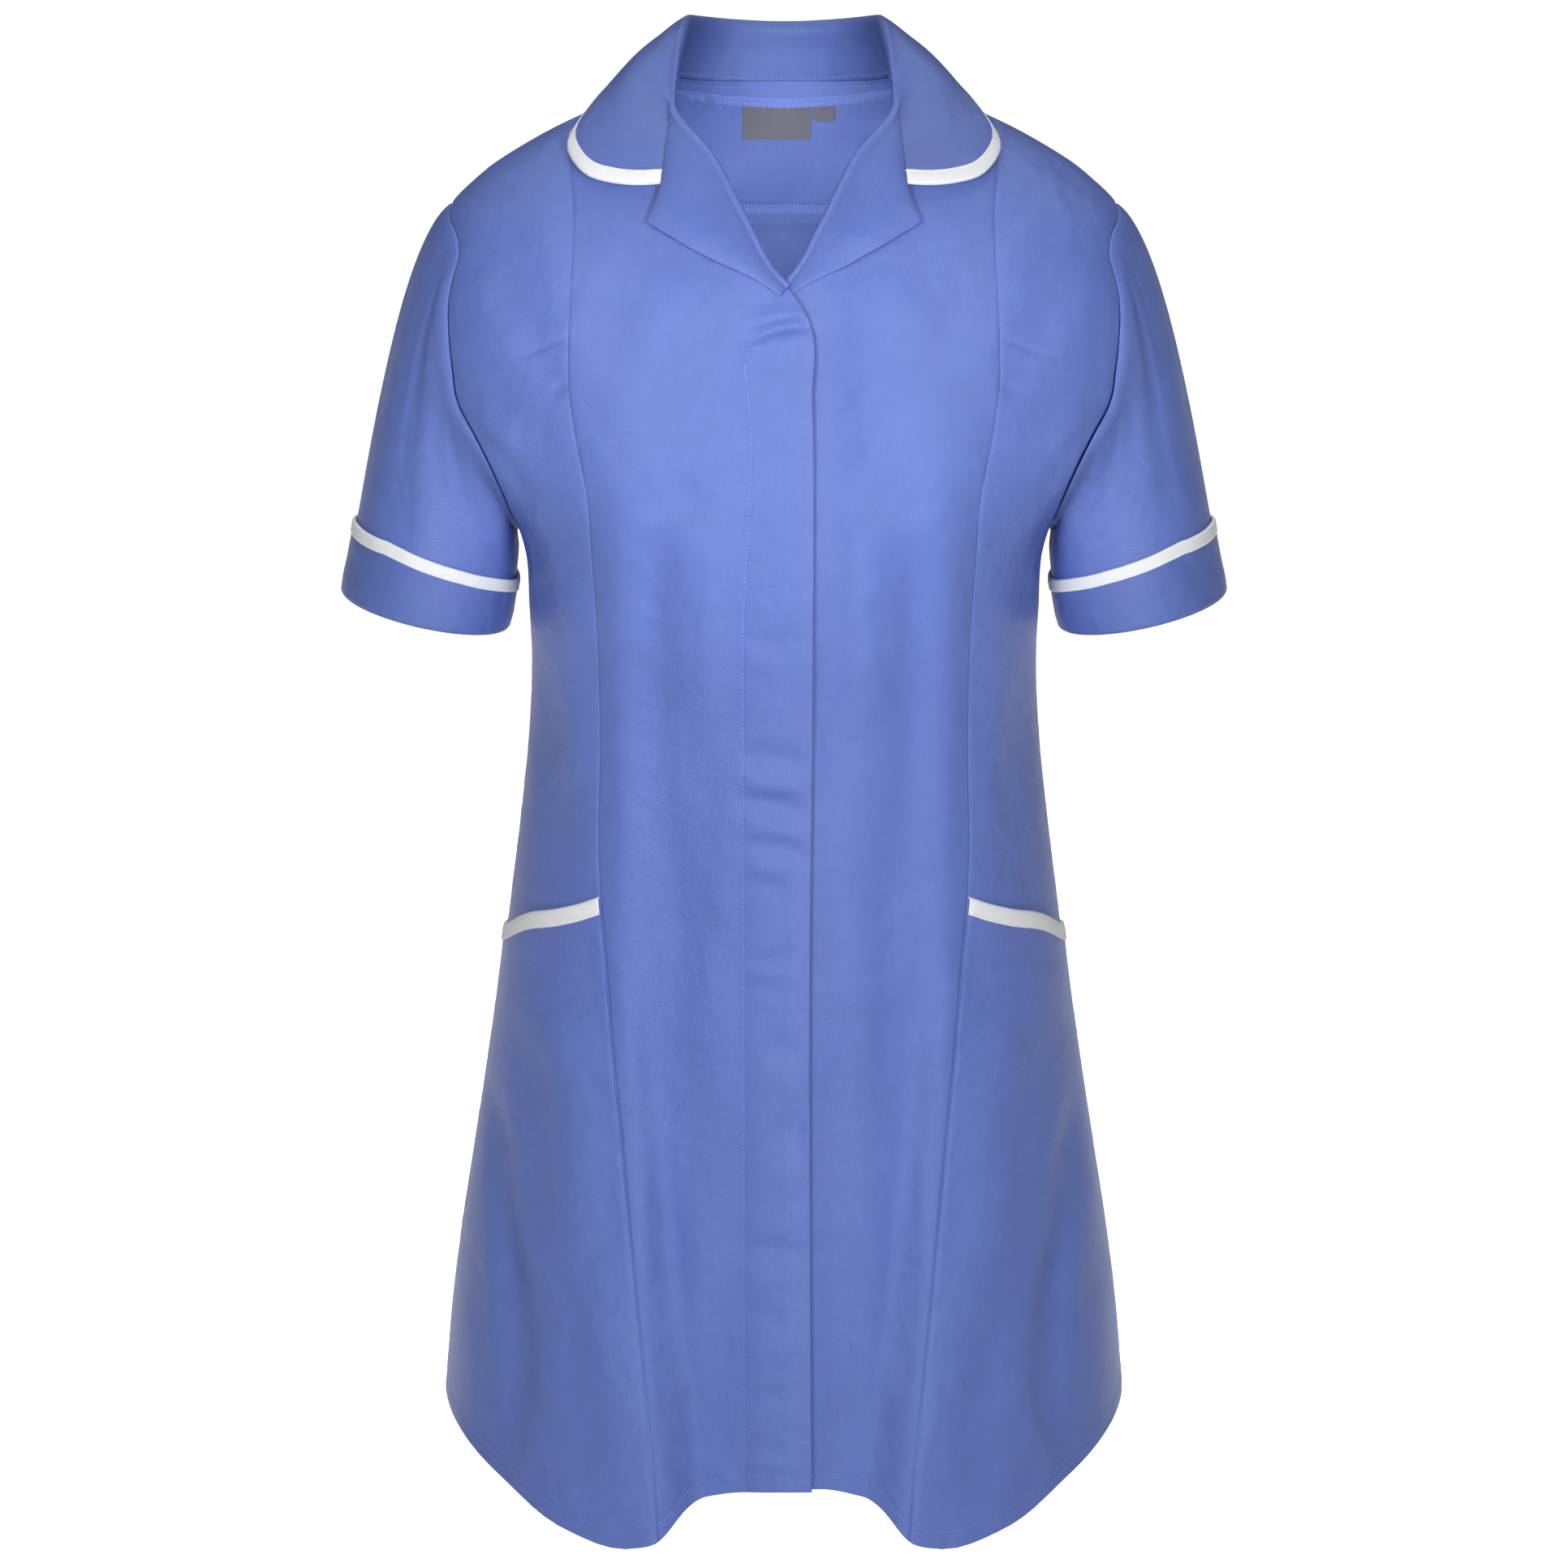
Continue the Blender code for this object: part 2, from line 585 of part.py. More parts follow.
def sleeve_offset(shares, offsets):
    """The same grid moved out from the sleeve's face by an offset for each share."""
    shares = np.array(shares, dtype=float)
    points = sleeve_points(shares)
    lengthwise = sleeve_points(shares + 0.004) - sleeve_points(np.maximum(shares - 0.004, 0))
    around = np.roll(points, -1, axis=0) - np.roll(points, 1, axis=0)
    normal = unit(np.cross(around, lengthwise))
    return points + normal * np.array(offsets, dtype=float)[None, :, None]


def make_sleeves():
    count = len(SLEEVE_SHARES)
    outer = sleeve_offset(SLEEVE_SHARES, np.zeros(count))
    inner = sleeve_offset(SLEEVE_SHARES, np.full(count, -WALL))
    pair("sleeve", outer, inner, "blue_cotton", closed=True)
    for name, faces, material in (
        ("cuff", CUFF_FACES, "blue_cotton"),
        ("cuff_binding", CUFF_BINDING_FACES, "white_trim"),
    ):
        outer_share, outside, inner_share, inside = np.array(faces).T
        outer = sleeve_offset(outer_share, outside)
        inner = sleeve_offset(inner_share, inside)
        pair(name, outer, inner, material, closed=True)


def make_pockets():
    """Patch pocket over the lower side front, with its bound, slanting top edge."""
    share = np.array(SIDE_COLUMNS)
    rows = np.array(LOWER_LEVELS, dtype=float)
    rows = rows[rows < POCKET_PLAIN_BELOW]
    seam_angle = angle_at(princess_at(rows) + POCKET_INSET, rows)
    angle = blend(seam_angle[:, None], 90 - POCKET_INSET / 2, share)
    level = np.repeat(rows[:, None], len(share), axis=1)

    start = angle_at(princess_at(POCKET_CORNER_LEVEL) + POCKET_INSET, POCKET_CORNER_LEVEL)
    top_angle = blend(start, 90 - POCKET_INSET / 2, share)
    top_level = np.full(len(share), float(POCKET_CORNER_LEVEL))
    for _ in range(SETTLING_STEPS):
        top_level = pocket_top_at(body_face(top_angle, top_level)[..., 0])
    angle = np.concatenate(([top_angle], angle))
    level = np.concatenate(([top_level], level))
    level[-1] += HEM_SETBACK

    gape = POCKET_GAPE * np.sin(np.pi * share)
    gape = gape * smoothstep((level - POCKET_GAPE_ENDS) / POCKET_GAPE_LENGTH)
    under = POCKET_GAP + gape
    outer = body_point(angle, level, under + POCKET_WALL)
    inner = body_point(angle, level, under)
    pair("pocket", outer, inner, "blue_cotton")

    down = unit(outer[1] - outer[0])[:, None]
    out = unit(outer[0] - inner[0])[:, None]
    top = outer[0][:, None]
    faces = np.array(POCKET_BINDING_FACES)
    outer_band = top + down * faces[:, :1] + out * faces[:, 1:2]
    inner_band = top + down * faces[:, 2:3] + out * faces[:, 3:]
    pair("pocket_binding", outer_band, inner_band, "white_trim")


def revere_faces(tucked):
    """Outer and inner grids of a revere on the left side. Tucked lies under the other one."""
    outer_rows, inner_rows = [], []
    for roll_level, edge_distance, edge_level in REVERE_ROWS:
        roll_distance = float(front_edge_at(roll_level))
        roll_angle = float(angle_at(roll_distance, roll_level))
        share, lift = np.array(REVERE_LEG).T
        width = math.dist((roll_distance, roll_level), (edge_distance, edge_level))
        lift = blend(TUCKED_HEIGHT, lift, min(1, width / REVERE_FULL_WIDTH))
        distance = blend(roll_distance, edge_distance, share)
        level = blend(roll_level, edge_level, share)
        angle = angle_at(distance, level)
        drop = 0
        if tucked:
            drop = underlap(distance)
            free = smoothstep((distance - TUCK_STARTS) / (TUCK_ENDS - TUCK_STARTS))
            lift = blend(TUCKED_HEIGHT, lift, free)
        origin = body_face(roll_angle, roll_level)
        normal = body_normal(roll_angle, roll_level)
        next_level = roll_level - ROLL_STEP
        next_angle = angle_at(front_edge_at(next_level), next_level)
        across = unit(np.cross(normal, body_face(next_angle, next_level) - origin))
        origin = origin + normal * (underlap(origin[0]) if tucked else 0)
        faces = np.array(ROLL_FACES)
        outer_roll = origin + across * faces[:, :1] + normal * faces[:, 1:2]
        inner_roll = origin + across * faces[:, 2:3] + normal * faces[:, 3:4]
        outer_rows.append(np.concatenate((body_point(angle, level, drop + lift + COLLAR_WALL), outer_roll)))
        inner_rows.append(np.concatenate((body_point(angle, level, drop + lift), inner_roll)))
    return np.array(outer_rows), np.array(inner_rows)


def make_reveres():
    mirror = np.array((-1, 1, 1))
    outer, inner = revere_faces(tucked=False)
    sheet_solid("revere_right", outer * mirror, inner * mirror, "blue_cotton")
    outer, inner = revere_faces(tucked=True)
    sheet_solid("revere_left", outer, inner, "blue_cotton")


def neck_edge(count):
    """Angles and levels along the neckline, from centre back to the gorge, on the left side."""
    back_angle, back_level = back_neckline(np.linspace(1, 0, 40))
    front_level = np.linspace(0, -13, 16)[1:]
    front_angle = angle_at(front_edge_at(front_level), front_level)
    angle = np.concatenate((back_angle, front_angle))
    level = np.concatenate((back_level, front_level))
    points = body_face(angle, level)
    along = np.concatenate(([0], np.cumsum(np.linalg.norm(np.diff(points, axis=0), axis=1))))
    places = np.linspace(0, along[-1], count)
    return np.interp(places, along, angle), np.interp(places, along, level)


def collar_faces():
    """Outer and inner grids of the left half of the collar, from centre back to the gorge."""
    count = COLLAR_STATIONS_HALF + 1
    fold = line_through(COLLAR_FOLD, count)
    plan = line_through(COLLAR_EDGE, count)
    address = np.array([body_address(x, y) for x, y in plan])
    edge = body_point(address[:, 0], address[:, 1], COLLAR_LIFT)
    edge_out = body_normal(address[:, 0], address[:, 1])
    neck_angle, neck_level = neck_edge(count)
    seam = body_point(neck_angle, neck_level, -WALL / 2)
    seam_normal = body_normal(neck_angle, neck_level)

    along = unit(np.gradient(fold, axis=0))
    outward = edge - fold
    outward[:, 2] = 0
    outward = unit(outward - along * np.sum(outward * along, axis=1, keepdims=True))
    upward = unit(np.cross(outward, along))
    upward *= np.sign(upward[:, 2:3])
    centre = fold - upward * FOLD_RADIUS

    seam_along = unit(np.gradient(seam, axis=0))
    seam_away = unit(np.cross(seam_along, seam_normal))
    seam_away *= -np.sign(np.sum(seam_away * (seam - np.array((0, 20, 60))), axis=1))[:, None]
    inward = -outward
    support = np.abs(np.sum(seam_away * inward, axis=1, keepdims=True))
    foot = seam + seam_away * (STAND_CLEAR + COLLAR_WALL / 2 * support)

    outer, inner = [edge], [edge - edge_out * COLLAR_WALL]
    fall_start = centre + outward * FOLD_RADIUS
    fall = fall_start - edge
    length = np.linalg.norm(fall, axis=1, keepdims=True)
    first = BINDING_BAND / length
    fall_out = unit(np.cross(np.gradient(fold + edge, axis=0), fall))
    fall_out *= np.sign(np.sum(fall_out * edge_out, axis=1))[:, None]
    for share in (0, *FALL_SHARES[:-1]):
        place = first + (1 - first) * share
        face = edge + fall * place + fall_out * COLLAR_ARCH * np.sin(np.pi * place)
        outer.append(face)
        inner.append(face - fall_out * COLLAR_WALL)
    for degrees in FOLD_ANGLES:
        turn = math.radians(degrees)
        spoke = -outward * math.cos(turn) + upward * math.sin(turn)
        outer.append(centre + spoke * FOLD_RADIUS)
        inner.append(centre + spoke * (FOLD_RADIUS - COLLAR_WALL))
    top_out = centre - outward * FOLD_RADIUS
    top_in = centre - outward * (FOLD_RADIUS - COLLAR_WALL)
    for share in STAND_SHARES:
        outer.append(blend(top_out, foot + inward * COLLAR_WALL / 2, share))
        inner.append(blend(top_in, foot - inward * COLLAR_WALL / 2, share))
    return np.stack(outer, axis=1), np.stack(inner, axis=1)


def make_collar():
    """One folded sheet: fall, fold and stand, running into the reveres at the gorge seams."""
    outer, inner = collar_faces()
    gorge_outer, gorge_inner = revere_faces(tucked=False)
    apart = unit(np.cross(np.gradient(gorge_outer[0], axis=0), gorge_outer[0] - gorge_inner[0]))
    apart *= np.sign(np.sum(apart * (gorge_outer[0] - gorge_outer[1]))) * (GAP + 0.1)
    share = np.linspace(0, 1, len(outer))
    weight = smoothstep((share - 1 + GORGE_BLEND) / GORGE_BLEND)[:, None, None]
    outer = outer + (gorge_outer[0] + apart - outer[-1]) * weight
    inner = inner + (gorge_inner[0] + apart - inner[-1]) * weight
    mirror = np.array((-1, 1, 1))
    outer = np.concatenate((outer[::-1] * mirror, outer[1:]))
    inner = np.concatenate((inner[::-1] * mirror, inner[1:]))
    for grid in (outer, inner):
        for _ in range(COLLAR_EASINGS):
            grid[1:-1, 2:-1] = (grid[:-2, 2:-1] + 2 * grid[1:-1, 2:-1] + grid[2:, 2:-1]) / 4
    sheet_solid("collar", outer, inner, "blue_cotton")

    inward = unit(outer[:, 1] - outer[:, 0])[:, None]
    out = unit(outer[:, 0] - inner[:, 0])[:, None]
    edge = outer[:, 0][:, None]
    faces = np.array(COLLAR_BINDING_FACES)
    outer_band = edge + inward * faces[:, :1] + out * faces[:, 1:2]
    inner_band = edge + inward * faces[:, 2:3] + out * faces[:, 3:]
    sheet_solid("collar_binding", outer_band, inner_band, "white_trim")


def make_labels():
    """Plain woven label and size tab on the inside of the yoke."""
    for name, left, right, top, bottom in LABELS:
        distance = np.linspace(left, right, LABEL_STEPS + 1)
        levels = np.linspace(top, bottom, 3)[:, None]
        angle = 180 - np.degrees(np.arcsin(distance / section_at(levels)[..., 0]))
        outer = body_point(angle, levels, -LABEL_DEPTH)
        inner = body_point(angle, levels, -LABEL_DEPTH - LABEL_WALL)
        sheet_solid(name, outer, inner, "grey_label")


def main():
    for old in list(bpy.data.objects):
        bpy.data.objects.remove(old, do_unlink=True)
    make_fronts()
    make_fly()
    make_side_fronts()
    make_back()
    make_sleeves()
    make_pockets()
    make_reveres()
    make_collar()
    make_labels()


main()
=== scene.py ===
"""Maternity tunic: thin cloth shells, sewing, finishes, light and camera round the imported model.

Lengths are in millimetres in the tables and in metres in Blender. +Z is up, the front faces -Y.
The wearer's right is at -X. The surface rules and tables are the ones the solids were cut from.
"""
import math
from functools import partial

import bpy
import numpy as np
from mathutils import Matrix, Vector


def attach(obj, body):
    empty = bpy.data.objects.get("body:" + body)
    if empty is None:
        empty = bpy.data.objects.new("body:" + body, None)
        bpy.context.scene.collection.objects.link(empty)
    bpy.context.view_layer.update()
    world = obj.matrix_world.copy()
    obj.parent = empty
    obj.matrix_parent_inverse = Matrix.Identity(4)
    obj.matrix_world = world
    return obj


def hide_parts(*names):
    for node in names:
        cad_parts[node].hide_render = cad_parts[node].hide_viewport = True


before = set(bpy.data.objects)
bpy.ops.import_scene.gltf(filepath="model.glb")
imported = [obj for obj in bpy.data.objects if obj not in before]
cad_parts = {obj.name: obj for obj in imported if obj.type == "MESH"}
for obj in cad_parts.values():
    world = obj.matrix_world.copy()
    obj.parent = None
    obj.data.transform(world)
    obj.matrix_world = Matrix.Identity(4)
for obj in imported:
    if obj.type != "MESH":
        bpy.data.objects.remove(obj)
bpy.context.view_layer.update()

MM = 0.001
BODY = "root"
RIGHT = np.array((-1, 1, 1))
LEFT = np.array((1, 1, 1))
SIDES = (("right", RIGHT), ("left", LEFT))

# Cloth
CLOTH = 0.55
FOLDED = 1.3
COLLAR_WALL = 1.3
WALL = 1.5
SEAM_GAP = 0.03
SEAM_DIP = 0.5
SEAM_HALF_WIDTH = 0.9
SEAM_SOFT_DIP = 0.3
SEAM_SOFT_WIDTH = 5
HEM_WIDTH = 10
HEM_DIP = 0.28
FOLD_STRENGTH = 2.1
FOLDS_FADE = 14
FOLD_RUN_OUT = 0.2
FOLD_END_FADE = 0.45
HEM_RIPPLE = 0.5
HEM_RIPPLE_PITCH = 8.5
HEM_RIPPLE_SLANT = 0.9
HEM_RIPPLE_START = 5
HEM_SWELL_STARTS = 2.5
HEM_SWELL_ENDS = 5
HEM_SWELL_FADE = 6
HEM_STEP = 1.2
# How much ripples swell, how far they wander, and how strong a wave crosses them
RIPPLE_SWELL = 0.45
RIPPLE_WANDER = 1.9
RIPPLE_CROSSING = 0.6
# The slow waves of those three. Columns: turns for each ripple, start, shift of the start with the seed
RIPPLE_WAVES = ((0.173, 1.3, 2.1), (0.37, 0, 1), (0.61, 2.2, 1.7))
PUCKER_PITCH = 13
PUCKER_SLANT = 0.6
PUCKER_REACH = 9
PUCKER_CLEAR = 1.6
EDGE_ROUNDING = 0.9
EDGE_LEAST = 0.35
SHARP_ANGLE = 62
STITCH_LIFT = 0.12
STITCH_LINE_DIP = 0.42
STITCH_LINE_WIDTH = 1.2
PLACKET_RIPPLE_STRENGTH = 2.0
SLEEVE_FOLD_STRENGTH = 0.45
ARMHOLE_EASE = 4.0
ARMHOLE_EASE_WIDTH = 20
ARMHOLE_EASE_TOP = -120
ARMHOLE_EASE_LOW = -256
ARMHOLE_FADE = 9
SLEEVE_DRAW = 0.5

# Marks on the body
UNDERARM_LEVEL = -255
SIDE_CLEARANCE = 0.35
SETTLING_STEPS = 8
# The line's first guessed place across a front, and the least turn from its seam to its edge
FIRST_SHARE = 0.7
LEAST_TURN = -0.001
ANGLE_STEP = 0.25
LEVEL_STEP = 0.5
# Levels between which a point on the shoulders is sought, and in how many halvings
SHOULDER_SLOPE = (-130, 5)
HALVINGS = 40

# Body sections. Columns: level, half_width, side_y, front, back, front_square, back_square
SECTIONS = (
    (-790, 200.5, 10, 186, 132, 2.0, 2.0),
    (-770, 198.5, 10, 184, 130, 2.0, 2.0),
    (-720, 194, 9, 177, 126, 2.0, 2.0),
    (-670, 187.5, 8, 167, 121, 2.0, 2.05),
    (-620, 179.5, 7, 157, 116, 2.0, 2.05),
    (-570, 171.5, 6, 148, 111, 2.0, 2.1),
    (-520, 164.0, 5, 141, 105, 2.05, 2.1),
    (-470, 157.5, 4, 135, 98, 2.1, 2.1),
    (-420, 151, 3, 130, 92, 2.1, 2.1),
    (-370, 145.5, 2, 127, 88, 2.1, 2.1),
    (-326, 143.5, 1, 128, 88, 2.15, 2.1),
    (-298, 144.5, 0, 130, 92, 2.2, 2.15),
    (-262, 147, 0, 130, 98, 2.25, 2.2),
    (-245, 152.5, 0, 129, 101, 2.3, 2.3),
    (-228, 163, 0, 127, 104, 2.35, 2.35),
    (-205, 180, 0, 124, 107, 2.4, 2.4),
    (-180, 195, 0, 119, 109, 2.4, 2.45),
    (-150, 203, 0, 112, 109, 2.4, 2.45),
    (-120, 202, 0, 104, 106, 2.4, 2.4),
    (-90, 195.5, 0.8, 94, 100, 2.3, 2.3),
    (-70, 185.8, 1.6, 85, 94, 2.2, 2.25),
    (-60, 175.5, 2.2, 79, 91, 2.15, 2.2),
    (-50, 163.5, 2.8, 72, 88, 2.1, 2.2),
    (-40, 148, 3.3, 65, 84, 2.05, 2.1),
    (-30, 130, 3.8, 58, 80, 2.0, 2.1),
    (-20, 109, 4.2, 50, 76, 2.0, 2.0),
    (-10, 86, 4.6, 43, 73, 2.0, 2.0),
    (0, 62, 5, 37, 70, 2.0, 2.0),
    (6, 48, 5, 30, 66, 2.0, 2.0),
)
BODY_HEM = -770
# Columns: angle from centre front, level of the hem there
HEM_LEVELS = (
    (0, -781), (10, -783), (16, -790), (21, -804), (26, -810), (38, -807),
    (50, -796), (65, -781), (90, -769), (120, -772), (180, -776),
)
HEM_DIP_STARTS = -560
# How far the middle of the front lies back. Columns: level, depth
CENTRE_RECESS = ((-790, 33), (-770, 31), (-700, 25), (-620, 18), (-520, 10), (-420, 4), (-330, 0), (0, 0))
RECESS_FLANK = 30
RECESS_MARGIN = 3
BUST_X = 88
BUST_LEVEL = -225
BUST_RISE = 9
BUST_WIDTH = 44
BUST_HEIGHT = 62
SIDE_VALLEY_X = 158
SIDE_VALLEY_WIDTH = 15
SIDE_VALLEY_DEPTH = 6
BACK_FOLD_RISE = 8
BACK_FOLDS_HALF = 3
BACK_FOLDS_START = -400

# Seam lines. Columns: level, distance from centre front on the piece's own side
PRINCESS_SEAM = (
    (-790, 69), (-777, 70), (-717, 75), (-648, 83), (-603, 88), (-541, 94), (-482, 99),
    (-444, 102.5), (-347, 102), (-298, 102.5), (-252, 105.5), (-217, 107.5), (-182, 114), (-151, 118),
    (-126, 117.5), (-64, 115.5), (-37, 118), (-23, 118),
)
FRONT_EDGE = (
    (-790, -16), (-500, -14.5), (-300, -16), (-160, -15.5), (-121, -14), (-108, -6.5),
    (-96, 5.2), (-66, 23), (-36, 41), (-13, 61.5), (-9, 62), (-5, 62), (-2, 62), (0, 62),
)
ARMHOLE_FRONT = (
    (-255, 150), (-240, 150.5), (-225, 152.5), (-207, 158), (-190, 167), (-171, 179), (-154, 182.7),
    (-140, 184.7), (-113, 184.7), (-102, 182), (-92, 179.5), (-81, 182), (-75, 186), (-70, 186),
)
ARMHOLE_BACK = (
    (-255, 150), (-245, 150.5), (-228, 157), (-192, 170), (-171, 176), (-140, 179), (-110, 181),
    (-90, 183), (-76, 185), (-72, 186.4), (-70, 186),
)
# Rows of the upper panels. Columns: level at the front edge, at the princess seam, at the armhole
UPPER_ROWS = (
    (0, -23, -70), (-2, -25, -71.5), (-5, -28, -75), (-9, -32.5, -80), (-13, -38, -87),
    (-22, -47, -96), (-34, -58, -107), (-50, -71, -119), (-68, -85, -132), (-88, -101, -146),
    (-107, -117, -160), (-121, -132, -174), (-140, -150, -188), (-162, -171, -203),
    (-188, -194, -219), (-216, -218, -236), (-243, -243, -255),
)
LAST_UPPER_LEVEL = -270
# The row of the table above along which the yoke ends at the armhole
YOKE_ROW = 5
BACK_NECK_DROP = 14.4
BACK_NECK_CURVE = 0.8
BACK_SHOULDER_COLUMNS = 5
BACK_NECK_COLUMNS = 7
NECK_BACK_STEPS = 40
NECK_FRONT_STEPS = 16

# The short bust dart. Columns as for the folds
DART = (
    (117, -129, 145, -142, 1, 1.5, -0.8), (119, -126, 140, -134, 1, 5, 0.4),
    (119, -134, 140, -146, 1, 5, 0.3),
)

# Grid spacing
# Extra places beside an edge, counted in columns
EDGE_STEPS = (0.2, 0.45, 0.72)
FRONT_PANEL_COLUMNS = 36
PLACKET_COLUMNS = 15
FLY_COLUMNS = 9
SIDE_COLUMN_COUNT = 26
POCKET_COLUMN_COUNT = 26
POCKET_TOP_ROWS = 20
BACK_HALF_COLUMNS = 44
YOKE_FINENESS = 4
YOKE_ROWS = 30
YOKE_EDGE_STEPS = (0.25, 0.6)
ARMHOLE_EDGE_STEPS = (0.2, 0.5)
SLEEVE_STEPS = 46
REVERE_FINENESS = 7
REVERE_EDGE_STEP = 0.05
COLLAR_FINENESS = 5
COLLAR_EDGE_PLACES = (0, 0.15, 0.35, 0.65)
CUFF_FINENESS = 5
BINDING_FINENESS = 2
BINDING_STITCH_COLUMN = 6
STAND_STITCH_COLUMN = -3
ROW_STEP = 3.2
# Rows of the upper panels that are set closer, for the dart
DART_ROWS = (9, 13)
DART_ROW_STEP = 1.3
HEM_ROWS = (-754, -756.5, -758.4, -759.3, -760, -760.7, -761.6, -763.5, -766, -768, -769.1, -769.7, -770)
HEM_STITCH_ROW = HEM_ROWS.index(-760) - len(HEM_ROWS)

# Seams of each sheet. Columns: side, depth of its groove, height of its puckers
FRONT_SEAMS = (("first_column", 1, 0.34), ("first_row", 1, 0.2))
SIDE_FRONT_SEAMS = (("first_column", 1, 0.34), ("last_column", 1, 0.3), ("first_row", 1, 0.2))
YOKE_SEAMS = (("first_column", 1, 0.2), ("last_column", 1, 0.2), ("first_row", 1, 0.2), ("last_row", 1, 0.2))
BACK_SEAMS = (("first_column", 1, 0.3), ("last_column", 1, 0.3), ("first_row", 1, 0.25))
SLEEVE_SEAMS = (("first_column", 1, 0.3),)
POCKET_SEAMS = (("first_column", 0.9, 0.5), ("last_column", 0.9, 0.3))
REVERE_SEAMS = (("first_row", 0.55, 0.12),)
COLLAR_SEAMS = (("first_row", 0.55, 0.12), ("last_row", 0.55, 0.12), ("last_column", 0.3, 0.15))
# Where the uneven ripples of each sheet start
RIPPLE_STARTS = {
    "front_right": 0.3, "front_left": 1.7, "side_front_right": 2.9, "side_front_left": 4.2, "back_yoke": 6.1,
    "back_body": 7.3, "sleeve": 8.4, "pocket_right": 3.3, "pocket_left": 5.6, "revere": 9.2, "collar": 10.5,
    "strip": 2.4,
}
# How strong the front's folds are on each side
FOLD_SHARES = {"right": 1, "left": 0.85}

# Concealed closure: the left front and the fly strip lie behind the right front
UNDERLAP_OFFSET = -4.7
UNDERLAP_FULL_AT = 22
UNDERLAP_GONE_AT = 50
UNDERLAP_DIP_STARTS = 40
PLACKET_LINE = (
    (-790, 22.5), (-300, 22.5), (-134, 22.5), (-121, 25), (-108, 32), (-96, 41), (-66, 57),
    (-36, 72), (-13, 86), (0, 92),
)
LINE_STARTS = -36
PLACKET_TOP = -134.5
PLACKET_TOP_ENDS = 11
PLACKET_TOP_STARTS = 24
STITCH_TOP_FADE = 1.5
STITCH_LINE_FADE = 2
FACING_STEP = 1.6
FACING_TOP = -118
FACING_TOP_FADE = 8
FLY_WIDTH = 37
FLY_TOP = -121
FLY_SETBACK = 0.8
FLY_OFFSET = -3.5
HEM_SETBACK = 1.5

# Reveres. Columns: level on the roll line, distance and level of the outer edge
REVERE_ROWS = (
    (-13, 66.5, -52), (-20, 67.5, -56), (-29, 70.5, -63), (-38, 74.3, -71), (-50, 62, -77.5),
    (-63, 49, -84.5), (-76, 36, -90.5), (-88, 22, -96), (-97, 10, -102), (-103, 2.5, -107.5),
)
# Across a revere. Columns: share of the way to its outer edge, height over the front
REVERE_LEG = ((1, 3.2), (0.8, 4.4), (0.55, 4.8), (0.3, 3.7), (0.12, 1.9))
# Round its roll. Columns: distance across and out, outer face; the same, inner face
ROLL_FACES = (
    (0.6, 2.1, 0.6, 0.8), (-1.3, 1.8, -0.8, 0.6), (-2.5, 0.5, -1.3, 0.0),
    (-2.9, -0.7, -1.6, -0.7), (-2.7, -1.6, -1.5, -1.3), (-2.3, -2.3, -1.3, -1.7),
)
TUCK_STARTS = 14
TUCK_ENDS = 40
TUCKED_HEIGHT = 0.7
REVERE_FULL_WIDTH = 30
ROLL_STEP = 3

# Collar. Columns of the fold: x, y, z. Columns of the outer edge: x, y
COLLAR_FOLD = (
    (0, 72, 23), (23, 68, 24.5), (42, 55, 27.5), (52.5, 34, 31), (55.5, 10, 32.5), (56.5, -4, 27),
    (57.5, -13, 16.5), (59, -21, 2), (60, -27, -10),
)
COLLAR_EDGE = (
    (0, 85), (30, 83.5), (58, 75), (80, 60), (93, 43), (99.5, 22), (102, 0), (107, -11), (112, -19.5),
    (116.5, -27), (117.5, -34), (115, -42), (107, -53), (93.5, -60.5), (78, -65), (66.5, -66.5),
)
COLLAR_STATIONS_HALF = 56
COLLAR_LIFT = 4.2
COLLAR_ARCH = 4.0
FOLD_RADIUS = 2.6
# Places round the collar's fold, in degrees, and down its fall and stand, as shares
FOLD_ANGLES = (150, 90, 30)
FALL_SHARES = (0, 0.25, 0.5, 0.75)
STAND_SHARES = (0.45, 0.75, 1)
BINDING_BAND = 9.0
NECK_MIDDLE = (0, 20, 60)
STAND_CLEAR = 1.2
GORGE_BLEND = 0.5
COLLAR_EASINGS = 30
COLLAR_BACK_STATIONS = 13

# Binding folded over an edge. Columns: distance in and offset, outer face; the same, inner face
BINDING_FACES = (
    (7.5, 0.1, 7.5, 0.0), (7.45, 0.62, 7.3, 0.12), (7.1, 0.78, 7.0, 0.2), (6.2, 0.62, 6.2, 0.15),
    (4.5, 0.85, 4.5, 0.3), (2.0, 0.9, 2.0, 0.35), (0.5, 0.8, 0.6, 0.25), (-0.45, 0.35, -0.1, 0.0),
    (-0.8, -0.35, -0.35, -0.35), (-0.75, -1.1, -0.3, -1.0), (-0.2, -1.75, 0.0, -1.4),
    (1.2, -2.0, 1.2, -1.6), (4.5, -1.95, 4.5, -1.6), (6.4, -1.75, 6.4, -1.5),
)

# Pocket, slanting from the princess seam down to the side seam. Columns: distance, top level
POCKET_TOP_LINE = (
    (70, -440), (102, -445), (115, -452), (125, -457), (148, -471), (158, -484), (165, -496),
)
POCKET_HEIGHT = 0.15
POCKET_WALL = 1.1
POCKET_GAPE = 1.8
POCKET_INSET = 0.4
POCKET_CORNER_LEVEL = -441
POCKET_PLAIN_BELOW = -510
POCKET_GAPE_ENDS = -600
POCKET_GAPE_LENGTH = 120
POCKET_BINDING_SCALE = 1.2
# Rows a little below the pocket's edge, where the turned edge no longer thins the cloth
POCKET_FLAT_ROW = 3
POCKET_LOWER_ROW = 6

